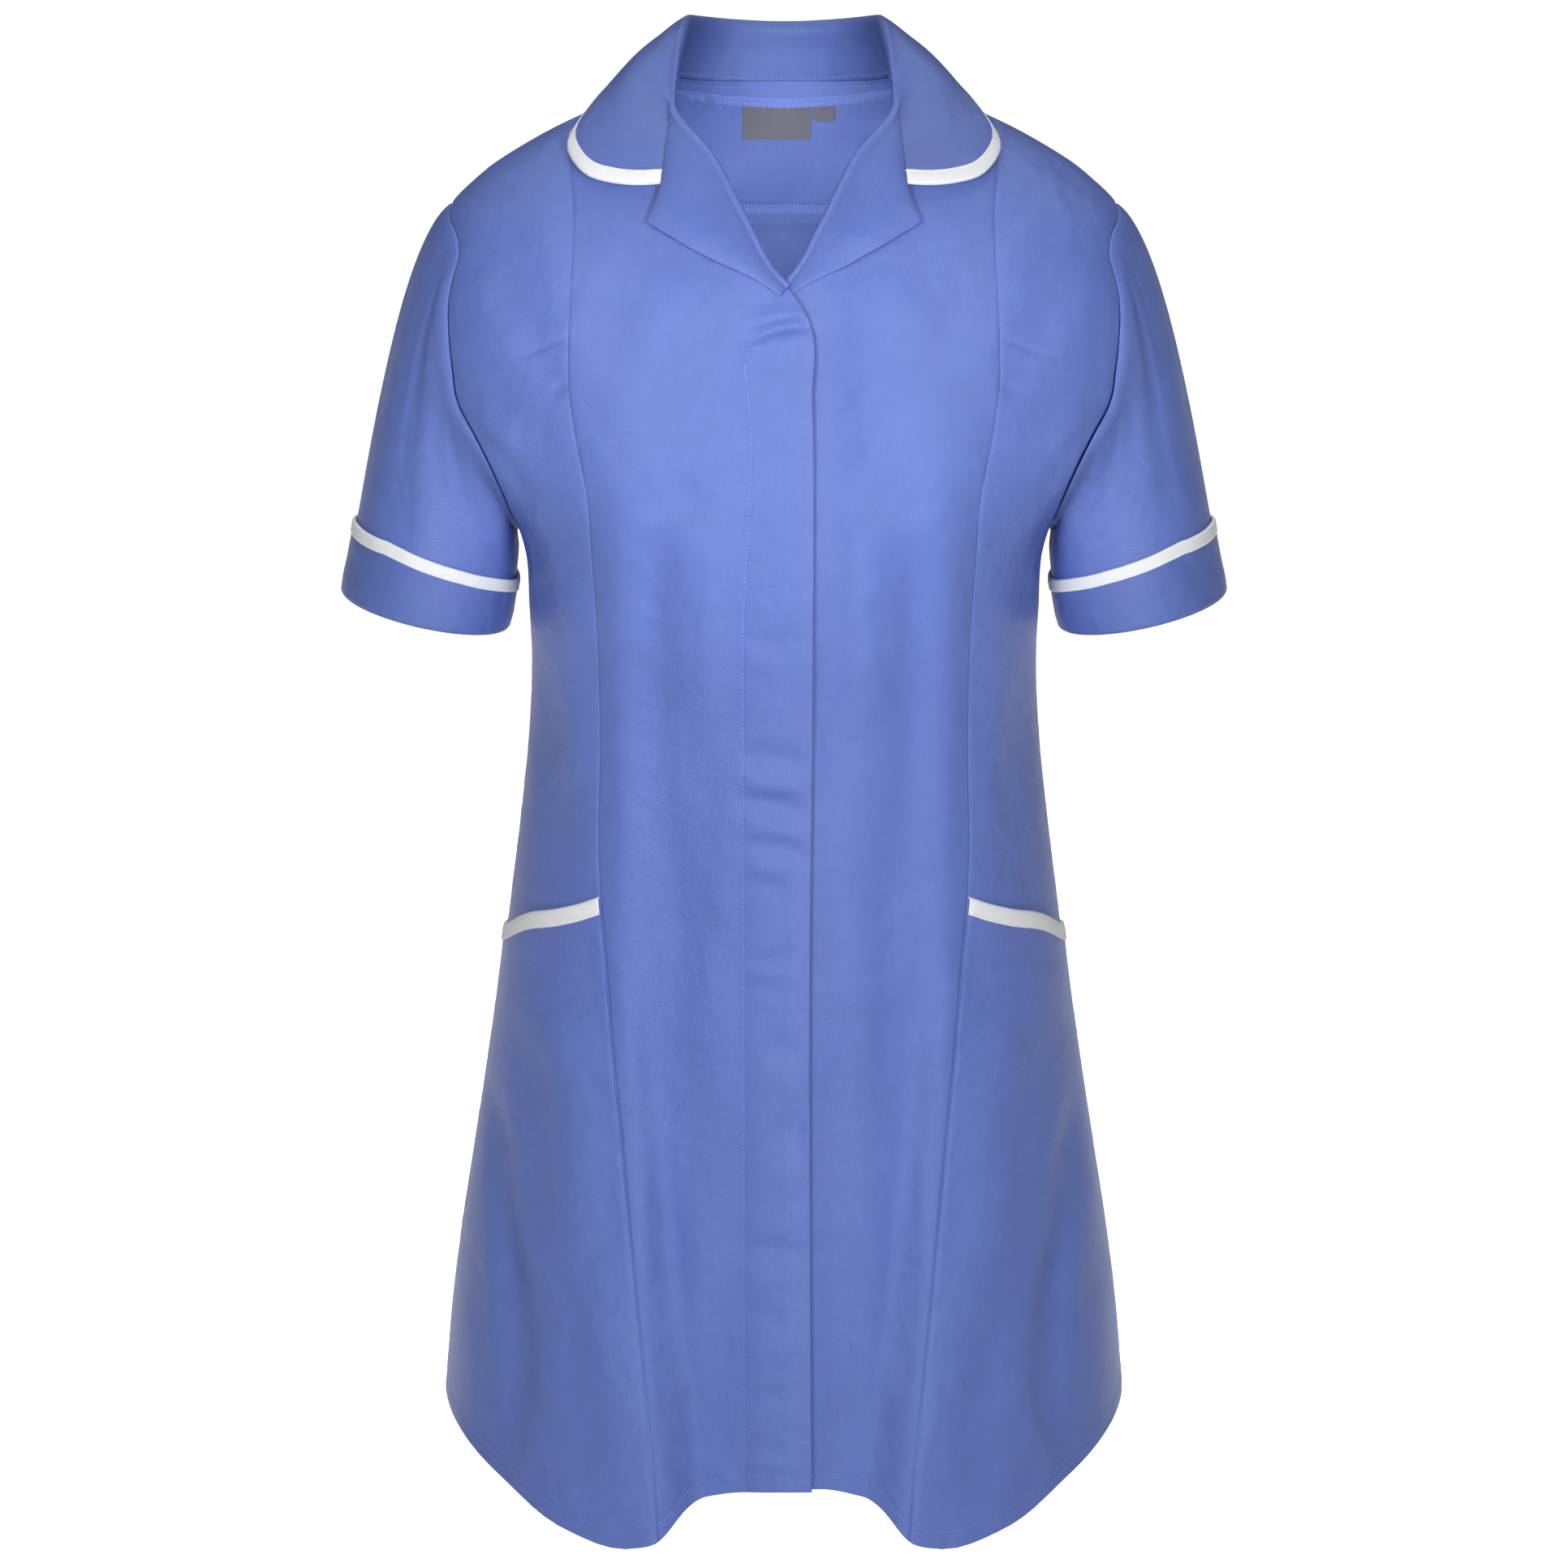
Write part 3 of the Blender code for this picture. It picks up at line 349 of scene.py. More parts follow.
# Sleeves hang from the armholes. The cuff ring is an ellipse tilted with the sleeve
CUFF_CENTRE = (203.5, -1, -299.5)
CUFF_HALF_WIDTH = 47.5
CUFF_HALF_DEPTH = 52
CUFF_TILT = 13
# How a sleeve leaves its armhole. Columns: share of half the ring, swing in degrees, reach
SLEEVE_LEAVES = (
    (0, 14, 118), (0.2, 12, 90), (0.4, 25, 62), (0.6, 50, 50), (0.8, 70, 42), (1, 90, 26),
)
ARMHOLE_FACES = (1, 0, 0.6)
SLEEVE_HANG = 190
SLEEVE_LENGTH = 175
SHARE_STEP = 0.004
SLEEVE_FOLDS_END = 0.93
SLEEVE_FOLDS_FADE = 0.25
RING_MM_PER_DEGREE = 0.87
STATIONS_PER_ROW = 4
# The cuff. Columns: share of the sleeve's length and offset, outer face; the same, inner face
CUFF_FACES = (
    (0.825, 1.8, 0.825, 0.5), (0.91, 1.8, 0.91, 0.5), (0.985, 1.8, 0.985, 0.5),
    (1.003, 1.3, 1.001, 0.3), (1.009, 0.3, 1.0055, -0.1), (1.0095, -1.2, 1.0055, -1.0),
    (1.006, -2.6, 1.003, -1.8), (0.995, -3.2, 0.995, -2.1), (0.95, -3.2, 0.95, -2.1),
)
CUFF_TOP_SHARE = 0.818
# Shares of the sleeve's length between which the cuff's binding is measured
CUFF_BAND = (0.808, 0.9)
CUFF_BAND_STEPS = 60
# The cuff's binding. Columns: distance from the cuff's top and offset, outer face; the same, inner
CUFF_BINDING_FACES = (
    (7.6, 1.88, 7.6, 1.82), (7.5, 2.3, 7.4, 1.9), (7.2, 2.5, 7.1, 1.95), (6.3, 2.35, 6.3, 1.9),
    (4.5, 2.55, 4.5, 2.0), (2.2, 2.6, 2.2, 2.05), (0.8, 2.5, 1.0, 2.0), (0.1, 2.05, 0.5, 1.75),
    (-0.1, 1.3, 0.35, 1.2), (0.0, 0.6, 0.4, 0.6),
)

# Label and size tab, on the inside of the yoke. Columns: name, left, right, top, bottom
LABELS = (
    ("neck_label", -23.5, 15.5, -19, -45),
    ("size_tab", 16.5, 29, -19, -34),
)
LABEL_OFFSET = -1.2
LABEL_WALL = 0.35
LABEL_COLUMNS = 14
LABEL_ROWS = 12
LABEL_CURL = 0.7
LABEL_CURL_HEIGHT = 9
LABEL_WAVE = 0.18
LABEL_WAVE_ACROSS = 5
LABEL_WAVE_DOWN = 9

# Seam allowances that show inside the back. Columns: width, offset, thickness
NECK_STRIP = (12, -1.75, 0.6)
# Height and lean of the neck strip's upper lip
NECK_STRIP_LIP = (4.2, 0.15)
NECK_OVERLOCK_COLUMN = 5.3
NECK_STRIP_STARTS = 0.3
NECK_STATIONS = 60
NECK_STRIP_COLUMNS = 9
YOKE_STRIP = (11.5, -0.95, 0.8)
YOKE_SEAM_LEVEL = -96
YOKE_STRIP_ANGLES = (118, 242)
YOKE_STRIP_CLEAR = 0.5
YOKE_STATIONS = 110
YOKE_STRIP_COLUMNS = 8
SLOPE_REACH = 1.3
SLOPE_STEPS = 27
STRIP_SWAY = 0.35
STRIP_SWAY_PITCH = 24
STRIP_LEAN = 0.3

# Soft folds of the front, mirrored to both sides. A height above nought is a ridge.
# Columns: distance and level at one end, distance and level at the other, bow, half width, height
FRONT_FOLDS = (
    (92, -250, 88, -520, 2, 11, 1.6), (88, -500, 79, -640, 1, 9, 1.4),
    (69, -215, 67, -420, -3, 12, -1.9), (67, -400, 60, -560, 2, 13, -1.5),
    (43, -228, 42, -340, 2, 13, 1.7), (56, -200, 74, -222, 6, 9, -1.0),
    (56, -200, 36, -222, -6, 9, -1.0), (50, -330, 54, -470, 3, 14, -1.0),
    (28, -380, 33, -520, -2, 12, 0.9), (31, -250, 30, -360, 2, 9, -0.9),
    (172, -178, 146, -190, 2, 7, 1.0), (168, -194, 139, -226, 3, 8, -1.2),
    (164, -205, 128, -256, 4, 9, 1.0), (119, -156, 127, -161, 0, 3.5, -0.6),
    (150, -225, 126, -285, -4, 8, -1.0), (146, -262, 112, -300, 5, 8, 0.9),
    (158, -110, 126, -158, 6, 12, -0.9), (166, -100, 140, -150, -5, 12, 0.8),
    (136, -70, 128, -110, 4, 10, 0.7), (98, -96, 92, -150, 3, 14, -0.7),
    (60, -100, 80, -190, -6, 16, 0.9), (22, -130, 40, -200, 5, 14, -0.8),
    (174, -575, 162, -609, 2, 8, -1.4), (162, -605, 156, -665, -2, 9, -2.0),
    (156, -655, 154, -742, 2, 8.5, -1.9), (146, -662, 144, -722, 1, 6, -1.0),
    (166, -640, 163, -740, 1, 6, 1.2), (129.5, -716, 136, -758, 1, 2.6, -1.1),
    (126, -516, 117, -643, 3, 22, 2.2), (140, -540, 138, -640, 2, 13, -1.4),
    (104, -640, 92, -720, 3, 14, 1.3), (118, -670, 112, -760, 2, 11, -1.0),
    (47, -600, 52, -700, 2, 13, 0.9), (34, -640, 36, -750, -1, 10, -0.8),
    (140, -330, 128, -440, 5, 15, -1.3), (120, -320, 112, -420, -3, 12, 0.8),
)

# Ripples between the placket's stitching and the front edge, on the wearer's right front
PLACKET_RIPPLES = (
    (20, -291, 1, -296, 1, 5, -0.7), (24, -302, 2, -305, 2, 6, 0.6),
    (24, -358, -12, -363, 2, 7.5, -1.5), (23, -372, -10, -375, -2, 5.5, 1.2),
    (24, -383, -9, -389, 2, 6, -1.5), (21, -397, -9, -401, 0, 5, 0.9),
    (23, -408, -12, -416, 3, 5, -1.2), (22, -421, -8, -424, 0, 4.5, 0.7),
    (21, -430, 1, -434, 1, 4.5, -0.9), (19, -474, -4, -470, -3, 5.5, -1.3),
    (16, -483, -8, -481, 2, 5, 0.8), (22, -491, 5, -488, 1, 4.5, -0.9),
    (12, -526, -6, -522, 1, 7, -1.1), (16, -541, -10, -548, 2, 8, 0.8),
    (6, -571, -11, -575, 2, 9, -1.5), (19, -594, -8, -600, 2, 8, 0.9),
    (20, -636, -12, -640, 2, 5, -1.3), (22, -650, -10, -652, 0, 7, 1.0),
    (22, -672, 0, -676, 2, 5, -0.8), (20, -692, -9, -690, 2, 7, 0.9),
    (21, -718, 0, -714, 2, 4.5, -1.1), (10, -733, -14, -737, 0.6, 1.6, -0.9),
    (22, -743, 1, -746, 1, 5, -1.0), (23, -752, -5, -754, 1, 4, 0.5),
    (22, -226, 8, -232, 1, 5, -0.5), (23, -262, 3, -268, 1, 6, -0.6),
    (20, -130.5, -14, -122, 3, 4, -1.7), (16, -124, -10, -117, 2, 5, 1.0),
    (14, -138, 2, -146, 1, 5, -0.5), (12, -176, -12, -182, 2, 9, -0.5),
)
# Soft folds of the back, by signed distance from its middle
BACK_FOLDS = (
    (-30, -110, -38, -250, 6, 14, 0.9), (34, -112, 44, -240, -5, 15, 0.8),
    (0, -120, 4, -300, 4, 18, -0.9), (-88, -120, -74, -260, -8, 15, -1.1),
    (92, -122, 80, -250, 7, 14, -1.0), (-120, -170, -92, -300, 8, 12, 1.1),
    (122, -165, 98, -290, -8, 12, 1.0), (-128, -225, -82, -318, 6, 9, -1.2),
    (130, -230, 90, -322, -7, 9, -1.2), (-60, -270, -20, -330, 6, 12, -0.8),
    (64, -262, 18, -326, -6, 12, -0.8), (-18, -330, -14, -560, 4, 15, 1.2),
    (22, -345, 30, -540, -5, 15, -1.0), (-52, -350, -66, -600, 6, 14, -1.3),
    (58, -360, 74, -610, -6, 14, 1.2), (-90, -370, -112, -640, 6, 15, 1.2),
    (98, -380, 120, -650, -7, 15, -1.2), (-128, -420, -152, -690, 5, 13, -1.2),
    (134, -430, 156, -700, -5, 13, 1.1), (-34, -600, -40, -770, 3, 12, -1.0),
    (8, -590, 6, -770, 2, 12, 1.0), (44, -620, 52, -775, -3, 12, -1.0),
    (-86, -620, -98, -775, 3, 13, 1.0), (96, -640, 106, -775, 3, 12, 0.9),
)
# Soft folds of a sleeve. Columns: turn and share at both ends, bow, half width, height
SLEEVE_FOLDS = (
    (30, 0.05, 38, 0.75, 6, 10, 1.5), (58, 0.12, 62, 0.7, -5, 9, -1.7), (84, 0.2, 80, 0.8, 4, 10, 1.3),
    (108, 0.15, 100, 0.7, 5, 9, -1.6), (130, 0.05, 118, 0.6, -5, 9, 1.2), (150, 0.0, 140, 0.5, 4, 9, -1.2),
    (8, 0.1, 12, 0.6, 3, 10, -1.0), (340, 0.05, 330, 0.7, -5, 11, 1.3), (312, 0.1, 305, 0.75, 5, 10, -1.5),
    (284, 0.15, 286, 0.7, 4, 10, 1.4), (258, 0.1, 262, 0.7, -4, 10, -1.4), (232, 0.05, 238, 0.6, 4, 9, 1.2),
    (206, 0.0, 214, 0.5, -4, 9, -1.0), (180, 0.1, 182, 0.7, 3, 8, 0.9),
)

# Sewing. Strands of one overlock loop: start and end, as shares of its pitch and width
OVERLOCK_STRANDS = (
    (0, 0, 0.45, 1), (0.45, 1, 0.9, 0), (0.05, 0.93, 0.75, 0.93), (0, 0.6, 0.9, 0.68), (0, 0.02, 1, -0.02),
)
STITCH_LEAN = 0.09
THREAD_SIDES = 5
BARTACK_LEVELS = (-141.5, -150.8)
BARTACK_PITCH = 0.36
BARTACK_HALF_WIDTH = 1.0
BARTACK_HEIGHT = 0.25
THREAD_END_POINTS = 7
THREAD_END_BOW = 0.4
THREAD_END_TURN = 2.5
# Thread ends at the back neck. Columns: distance, length, sway
LOOSE_THREADS = (
    (-53, 2, 1.2), (-48, 2.6, -1), (-45, 1.7, 0.6), (-38, 3.4, 0.8), (-35, 2, -1.4), (-31, 1.4, 0.7),
    (-26, 1.8, 1.1), (-12, 1.5, 1), (3, 1.2, -0.8), (19, 1.6, 1), (31, 2.2, 1.2), (36, 3.2, -1.2),
    (40, 1.8, 0.9), (45, 2.1, 1), (51, 1.6, -1),
)

# Colours. The second colour of each cloth and thread is painted shade for the grooves of its weave or ply
BLUE = (0.142, 0.215, 0.588)
BLUE_GROOVE_SHADE = (0.078, 0.121, 0.41)
# Pieces that lie over other cloth, so that no light comes through them, with painted shade: their colour is
# darkened to the share of the tone given next
SHADE_PAINTED = ("collar", "cuff_right", "cuff_left")
SHADE_PAINTED_TONE = 0.87
BLUE_SHADE_PAINTED = tuple(part * SHADE_PAINTED_TONE for part in BLUE)
BLUE_SHADE_PAINTED_DEEP = tuple(part * SHADE_PAINTED_TONE for part in BLUE_GROOVE_SHADE)
THREAD_BLUE = (0.26, 0.37, 0.88)
THREAD_BLUE_GROOVE_SHADE = (0.14, 0.22, 0.64)
WHITE = (0.85, 0.855, 0.865)
WHITE_SHADE = (0.7, 0.71, 0.74)
GREY = (0.14, 0.143, 0.182)
GREY_SHADE = (0.094, 0.096, 0.125)
SPECULAR_TINT = (0.9, 1, 1, 1)
FLOOR_COLOUR = (0.9, 0.9, 0.9)
FLOOR_DULLER = 0.985
FLOOR_PATCHES_PER_METRE = 3.0
FLOOR_LEVEL = -1.35
FLOOR_SIZE = 80

# Weave, in metres. Streaks are drawn out along the yarn
SLUBS_PER_METRE = 900
STREAKS_PER_METRE = (620, 90, 1)
YARNS_PER_RIB = 1.9
YARN_HEIGHT = 0.12
RIB_HEIGHT = 0.38
SLUB_TINT = 0.3
STREAK_TINT = 0.22
WEAVE_STRENGTH = 0.8
FINE_TONE = 0.5
FINE_CREASE = 0.25
PLIES_PER_METRE = 2600
PLY_DEPTH = 0.00008
# Uneven tone with painted crease shade and sheen, and the creases. Columns: patches per metre, detail,
# roughness, distortion
BROAD_NOISE = (17.0, 2.5, 0.5, 0.5)
FINE_NOISE = (60.0, 4.0, 0.55, 0.8)
YARN_NOISE_ROUGHNESS = 0.6
# Columns of a finish: name, light yarn, yarn with painted groove shade, and then those of the twill:
# ribs per metre, slant, relief, creases, uneven tone with painted crease shade and sheen, roughness, sheen
TWILL = (830, 0.9, 0.0002, 0.0042, 0.14, 0.48, 0.02)
CLOTH_FINISHES = {
    "blue_cotton": ("blue_twill", BLUE, BLUE_GROOVE_SHADE, *TWILL),
    # The same twill darkened as painted shade, for the collar and cuffs
    "blue_shade_painted": ("blue_twill_shade_painted", BLUE_SHADE_PAINTED, BLUE_SHADE_PAINTED_DEEP, *TWILL),
    "white_trim": ("white_bias", WHITE, WHITE_SHADE, 1200, 1.0, 0.0001, 0.002, 0.03, 0.7, 0.1),
    "grey_label": ("grey_satin", GREY, GREY_SHADE, 2200, 0.0, 0.00006, 0.0004, 0.05, 0.6, 0.2),
}

# Camera and lights, in metres
CAMERA_TARGET = (0, 0, -0.4044)
CAMERA_DISTANCE = 3.1
CAMERA_ELEVATION = 14
CAMERA_LENS = 124.2
# Columns: name, place, size, power, target, spread
LIGHTS = (
    ("left_softbox", (0.33, -1.06, 0.08), 0.3, 6.1, (0, 0, -0.3), 180),
    ("right_softbox", (-0.33, -1.06, 0.08), 0.3, 6.1, (0, 0, -0.3), 180),
    ("high_softbox", (-0.1, -1.1, 1.1), 0.24, 1.1, (0, 0, -0.3), 180),
    ("low_softbox", (0, -1.3, -0.9), 0.4, 3.4, (0, 0, -0.6), 180),
    ("front_softbox", (0, -1.5, 0.1), 0.3, 0.045, (0, 0, -0.13), 15),
    ("neck_softbox", (0, -0.05, -0.095), 0.06, 0.062, (0, 0.085, -0.09), 110),
    ("backdrop_far", (0, 11, 7), 20, 1800, (0, 11, -1.35), 90),
    ("backdrop_near", (0, 2.4, -0.75), 2.8, 34, (0, 2.4, -1.35), 60),
)
WORLD_STRENGTH = 0.07


def curve_through(rows):
    """Smooth function through a table's rows, from its first column to the rest."""
    table = np.array(rows, dtype=float)
    table = table[np.argsort(table[:, 0], kind="stable")]
    keys = table[:, 0]
    values = table[:, 1:]
    slopes = np.gradient(values, keys, axis=0)

    def at(place):
        place = np.clip(np.asarray(place, dtype=float), keys[0], keys[-1])
        row = np.clip(np.searchsorted(keys, place, side="right") - 1, 0, len(keys) - 2)
        span = (keys[row + 1] - keys[row])[..., None]
        share = ((place - keys[row]) / span[..., 0])[..., None]
        rest = 1 - share
        value = values[row] * (1 + 2 * share) * rest**2
        value += values[row + 1] * (3 - 2 * share) * share**2
        value += span * (slopes[row] * share * rest**2 - slopes[row + 1] * rest * share**2)
        return value[..., 0] if value.shape[-1] == 1 else value

    return at


def resample(grid, places, axis=0):
    """A grid at new places along one of its axes, counted in its own rows or columns."""
    rows = np.moveaxis(np.asarray(grid, dtype=float), axis, 0)
    flat = rows.reshape(len(rows), -1)
    table = np.concatenate((np.arange(len(rows))[:, None], flat), axis=1)
    fine = curve_through(table)(places)
    return np.moveaxis(fine.reshape(len(places), *rows.shape[1:]), 0, axis)


def length_along(line, least=0.0):
    """Distance along a line of points to each of them, with no step shorter than the least."""
    steps = np.linalg.norm(np.diff(line, axis=0), axis=1)
    return np.concatenate(([0], np.cumsum(np.maximum(steps, least))))


def line_through(points, count):
    """Evenly spaced points on a smooth line through a few points."""
    along = length_along(points)
    rows = [(key, *point) for key, point in zip(along, points)]
    return curve_through(rows)(np.linspace(0, along[-1], count))


def smoothstep(share):
    """A soft step from 0 to 1 as the share goes from 0 to 1."""
    share = np.clip(share, 0, 1)
    return share * share * (3 - 2 * share)


def alike(*values):
    """Numbers or grids of numbers as arrays of one shape."""
    return np.broadcast_arrays(*(np.asarray(value, float) for value in values))


def bell(distance, width):
    """1 at no distance, falling away smoothly on both sides."""
    return np.exp(-((distance / width) ** 2))


def unit(vectors):
    """Vectors of length 1 in the same directions."""
    return vectors / np.maximum(np.linalg.norm(vectors, axis=-1, keepdims=True), 1e-9)


def turned_to(vectors, way):
    """Vectors, each turned round where it points against the given way."""
    return vectors * np.sign(np.sum(vectors * way, axis=-1, keepdims=True))


def blend(start, end, share):
    """Values between start (share 0) and end (share 1)."""
    return start + (end - start) * share


section_at = curve_through(SECTIONS)
hem_at = curve_through(HEM_LEVELS)
recess_at = curve_through(CENTRE_RECESS)
princess_at = curve_through(PRINCESS_SEAM)
front_edge_at = curve_through(FRONT_EDGE)
armhole_front_at = curve_through(ARMHOLE_FRONT)
armhole_back_at = curve_through(ARMHOLE_BACK)
pocket_top_at = curve_through(POCKET_TOP_LINE)
placket_at = curve_through(PLACKET_LINE)


def lowness(level, start):
    """How far down a level lies, from 0 at the start to 1 at the hem."""
    return smoothstep((start - level) / (start - BODY_HEM))


def front_folds(distance, level):
    """How far the front moves back for its bust, centre recess and side valleys."""
    bust = ((distance - BUST_X) / BUST_WIDTH) ** 2 + ((level - BUST_LEVEL) / BUST_HEIGHT) ** 2
    flank = smoothstep((princess_at(level) + RECESS_MARGIN - distance) / RECESS_FLANK)
    low = lowness(level, HEM_DIP_STARTS)
    valley = SIDE_VALLEY_DEPTH * low * bell(distance - SIDE_VALLEY_X, SIDE_VALLEY_WIDTH)
    return recess_at(level) * flank + valley - BUST_RISE * np.exp(-bust)


def back_folds(angle, level):
    """How far the back moves out for its hanging folds."""
    turns = np.radians(180 - np.abs(angle)) * 2 * BACK_FOLDS_HALF
    return BACK_FOLD_RISE * lowness(level, BACK_FOLDS_START) * np.cos(turns)


def body_face(angle, level):
    """Points on the body's outer face. The angle runs from centre front, in degrees."""
    angle, level = alike(angle, level)
    half_width, side_y, front, back, front_square, back_square = np.moveaxis(section_at(level), -1, 0)
    across = np.sin(np.radians(angle))
    ahead = np.cos(np.radians(angle))
    facing = ahead >= 0
    square = np.where(facing, front_square, back_square)
    depth = np.where(facing, front, back)
    reach = (np.abs(across) ** square + np.abs(ahead) ** square) ** (-1 / square)
    x = half_width * across * reach
    y = side_y - depth * ahead * reach
    clear_of_side = smoothstep(np.abs(ahead) / SIDE_CLEARANCE)
    shift = np.where(facing, front_folds(np.abs(x), level), back_folds(angle, level))
    y = y + shift * clear_of_side
    z = level + lowness(level, HEM_DIP_STARTS) * (hem_at(np.abs(angle)) - BODY_HEM)
    return np.stack((x, y, z), axis=-1)


def body_normal(angle, level):
    """Outward direction of the body's outer face."""
    turned = body_face(angle + ANGLE_STEP, level) - body_face(angle - ANGLE_STEP, level)
    raised = body_face(angle, level + LEVEL_STEP) - body_face(angle, level - LEVEL_STEP)
    return unit(np.cross(turned, raised))


def body_point(angle, level, offset):
    """Points over or under the body's outer face."""
    angle, level, offset = alike(angle, level, offset)
    return body_face(angle, level) + body_normal(angle, level) * offset[..., None]


def angle_at(distance, level, back=False):
    """Angle from centre front at which the body is this far from its middle plane."""
    section = section_at(level)
    square = section[..., 5] if back else section[..., 4]
    share = np.clip(distance / section[..., 0], -1, 1)
    power = np.abs(share) ** square
    angle = np.degrees(np.arctan2(power ** (1 / square), (1 - power) ** (1 / square))) * np.sign(share)
    return 180 - angle if back else angle


def body_address(x, y):
    """Angle and level of the shoulder slope under a point of the plan, found by halving."""
    low, high = SHOULDER_SLOPE
    for _ in range(HALVINGS):
        level = (low + high) / 2
        half_width, side_y, front, back, front_square, back_square = section_at(level)
        depth, square = (front, front_square) if y < side_y else (back, back_square)
        outside = (abs(x) / half_width) ** square + (abs(y - side_y) / depth) ** square > 1
        low, high = (low, level) if outside else (level, high)
    return math.degrees(math.atan2(abs(x) / half_width, (side_y - y) / depth)), level


def folds(x, level, table):
    """Height of soft ridges and troughs that run along bowed lines."""
    x, level = alike(x, level)
    height = np.zeros(x.shape)
    for x0, level0, x1, level1, bow, half_width, rise in table:
        run, drop = x1 - x0, level1 - level0
        length = math.hypot(run, drop)
        along = ((x - x0) * run + (level - level0) * drop) / length**2
        across = ((x - x0) * drop - (level - level0) * run) / length
        across = across - bow * 4 * along * (1 - along)
        ends = smoothstep((along + FOLD_RUN_OUT) / FOLD_END_FADE)
        ends = ends * smoothstep((1 + FOLD_RUN_OUT - along) / FOLD_END_FADE)
        height += rise * ends * bell(across, half_width)
    return height


def body_folds(distance, level, table):
    """Folds of a body panel, which fade out before the side seams."""
    clear = smoothstep((section_at(level)[..., 0] - np.abs(distance)) / FOLDS_FADE)
    return folds(distance, level, table) * clear * FOLD_STRENGTH


def armhole_ease(level):
    """How far the front of the armhole stands out of the body's face, so the seam lies smooth."""
    share = np.clip((ARMHOLE_EASE_TOP - level) / (ARMHOLE_EASE_TOP - ARMHOLE_EASE_LOW), 0, 1)
    return ARMHOLE_EASE * np.sin(np.pi * share**1.5) ** 2


def ripple(along, pitch, seed=0.0):
    """Uneven ripples along a seam, from -1 to 1."""
    turn = along * 2 * math.pi / pitch
    waves = (np.sin(turn * rate + start + seed * shift) for rate, start, shift in RIPPLE_WAVES)
    swelling, wandering, crossing = waves
    swell = 1 + RIPPLE_SWELL * (swelling - 1)
    wave = np.sin(turn + RIPPLE_WANDER * wandering) + RIPPLE_CROSSING * crossing
    return swell * wave / (1 + RIPPLE_CROSSING)


def seam_dip(distance):
    """How far cloth turns in beside a seam."""
    return -SEAM_DIP * bell(distance, SEAM_HALF_WIDTH) - SEAM_SOFT_DIP * bell(distance, SEAM_SOFT_WIDTH)


def run_of(points, axis):
    """Distance covered along each row (axis 1) or column (axis 0) of a grid of points."""
    steps = np.linalg.norm(np.diff(points, axis=axis), axis=-1)
    start = np.zeros_like(np.take(steps, [0], axis=axis))
    return np.concatenate((start, np.cumsum(steps, axis=axis)), axis=axis)


def spaced(count, first=True, last=True):
    """Shares from 0 to 1, drawn closer together at the chosen ends."""
    extra = np.array(EDGE_STEPS) / (count - 1)
    parts = [np.linspace(0, 1, count)]
    if first:
        parts.append(extra)
    if last:
        parts.append(1 - extra)
    return np.unique(np.round(np.concatenate(parts), 6))


def refine(grid, pieces, axis):
    """A grid with each span along one axis cut in several, on smooth lines."""
    lines = np.moveaxis(grid, axis, 1)
    fine = []
    for line in lines:
        along = length_along(line, least=1e-4)
        spans = [np.linspace(start, end, pieces, endpoint=False) for start, end in zip(along, along[1:])]
        places = np.concatenate(spans + [along[-1:]])
        fine.append(curve_through(np.concatenate((along[:, None], line), axis=1))(places))
    return np.moveaxis(np.array(fine), 1, axis)


def drawn_in(grid, sides):
    """Draws named sides of a grid of points in, for the hairline at a seam."""
    grid = grid.copy()
    for side in sides:
        rows = grid if side in ("first_row", "last_row") else grid.swapaxes(0, 1)
        edge, inner = (0, 1) if side.startswith("first") else (-1, -2)
        rows[edge] += unit(rows[inner] - rows[edge]) * SEAM_GAP / 2
    return grid


def reach_from(points):
    """Distance of each point of a grid from each of its sides."""
    across = run_of(points, 1)
    down = run_of(points, 0)
    return {
        "first_column": across, "last_column": across[:, -1:] - across,
        "first_row": down, "last_row": down[-1:] - down,
    }


def seam_shift(reach, seams, seed):
    """How far cloth moves at its seams: a groove along each, with puckers beside it.

    Each seam is a side, how deep its groove is and how high its puckers are.
    """
    shift = np.zeros(reach["first_row"].shape)
    for number, (side, depth, pucker) in enumerate(seams):
        along = reach["first_row"] if side.endswith("column") else reach["first_column"]
        distance = reach[side]
        near = bell(distance, PUCKER_REACH) * (1 - bell(distance, PUCKER_CLEAR))
        shift += seam_dip(distance) * depth
        shift += pucker * near * ripple(along + distance * PUCKER_SLANT, PUCKER_PITCH, seed + number)
    return shift


def hem_shift(reach, seed):
    """How far cloth moves at its hem: a line of stitches, with slanting ripples on both sides of it."""
    up = reach["last_row"]
    dip = HEM_DIP * bell(up - HEM_WIDTH, STITCH_LINE_WIDTH)
    swell = smoothstep(up / HEM_SWELL_STARTS)
    swell = swell * smoothstep((HEM_WIDTH + HEM_SWELL_ENDS - up) / HEM_SWELL_FADE)
    lean = reach["first_column"] + up * HEM_RIPPLE_SLANT
    return HEM_RIPPLE * swell * ripple(lean, HEM_RIPPLE_PITCH, seed + HEM_RIPPLE_START) - dip


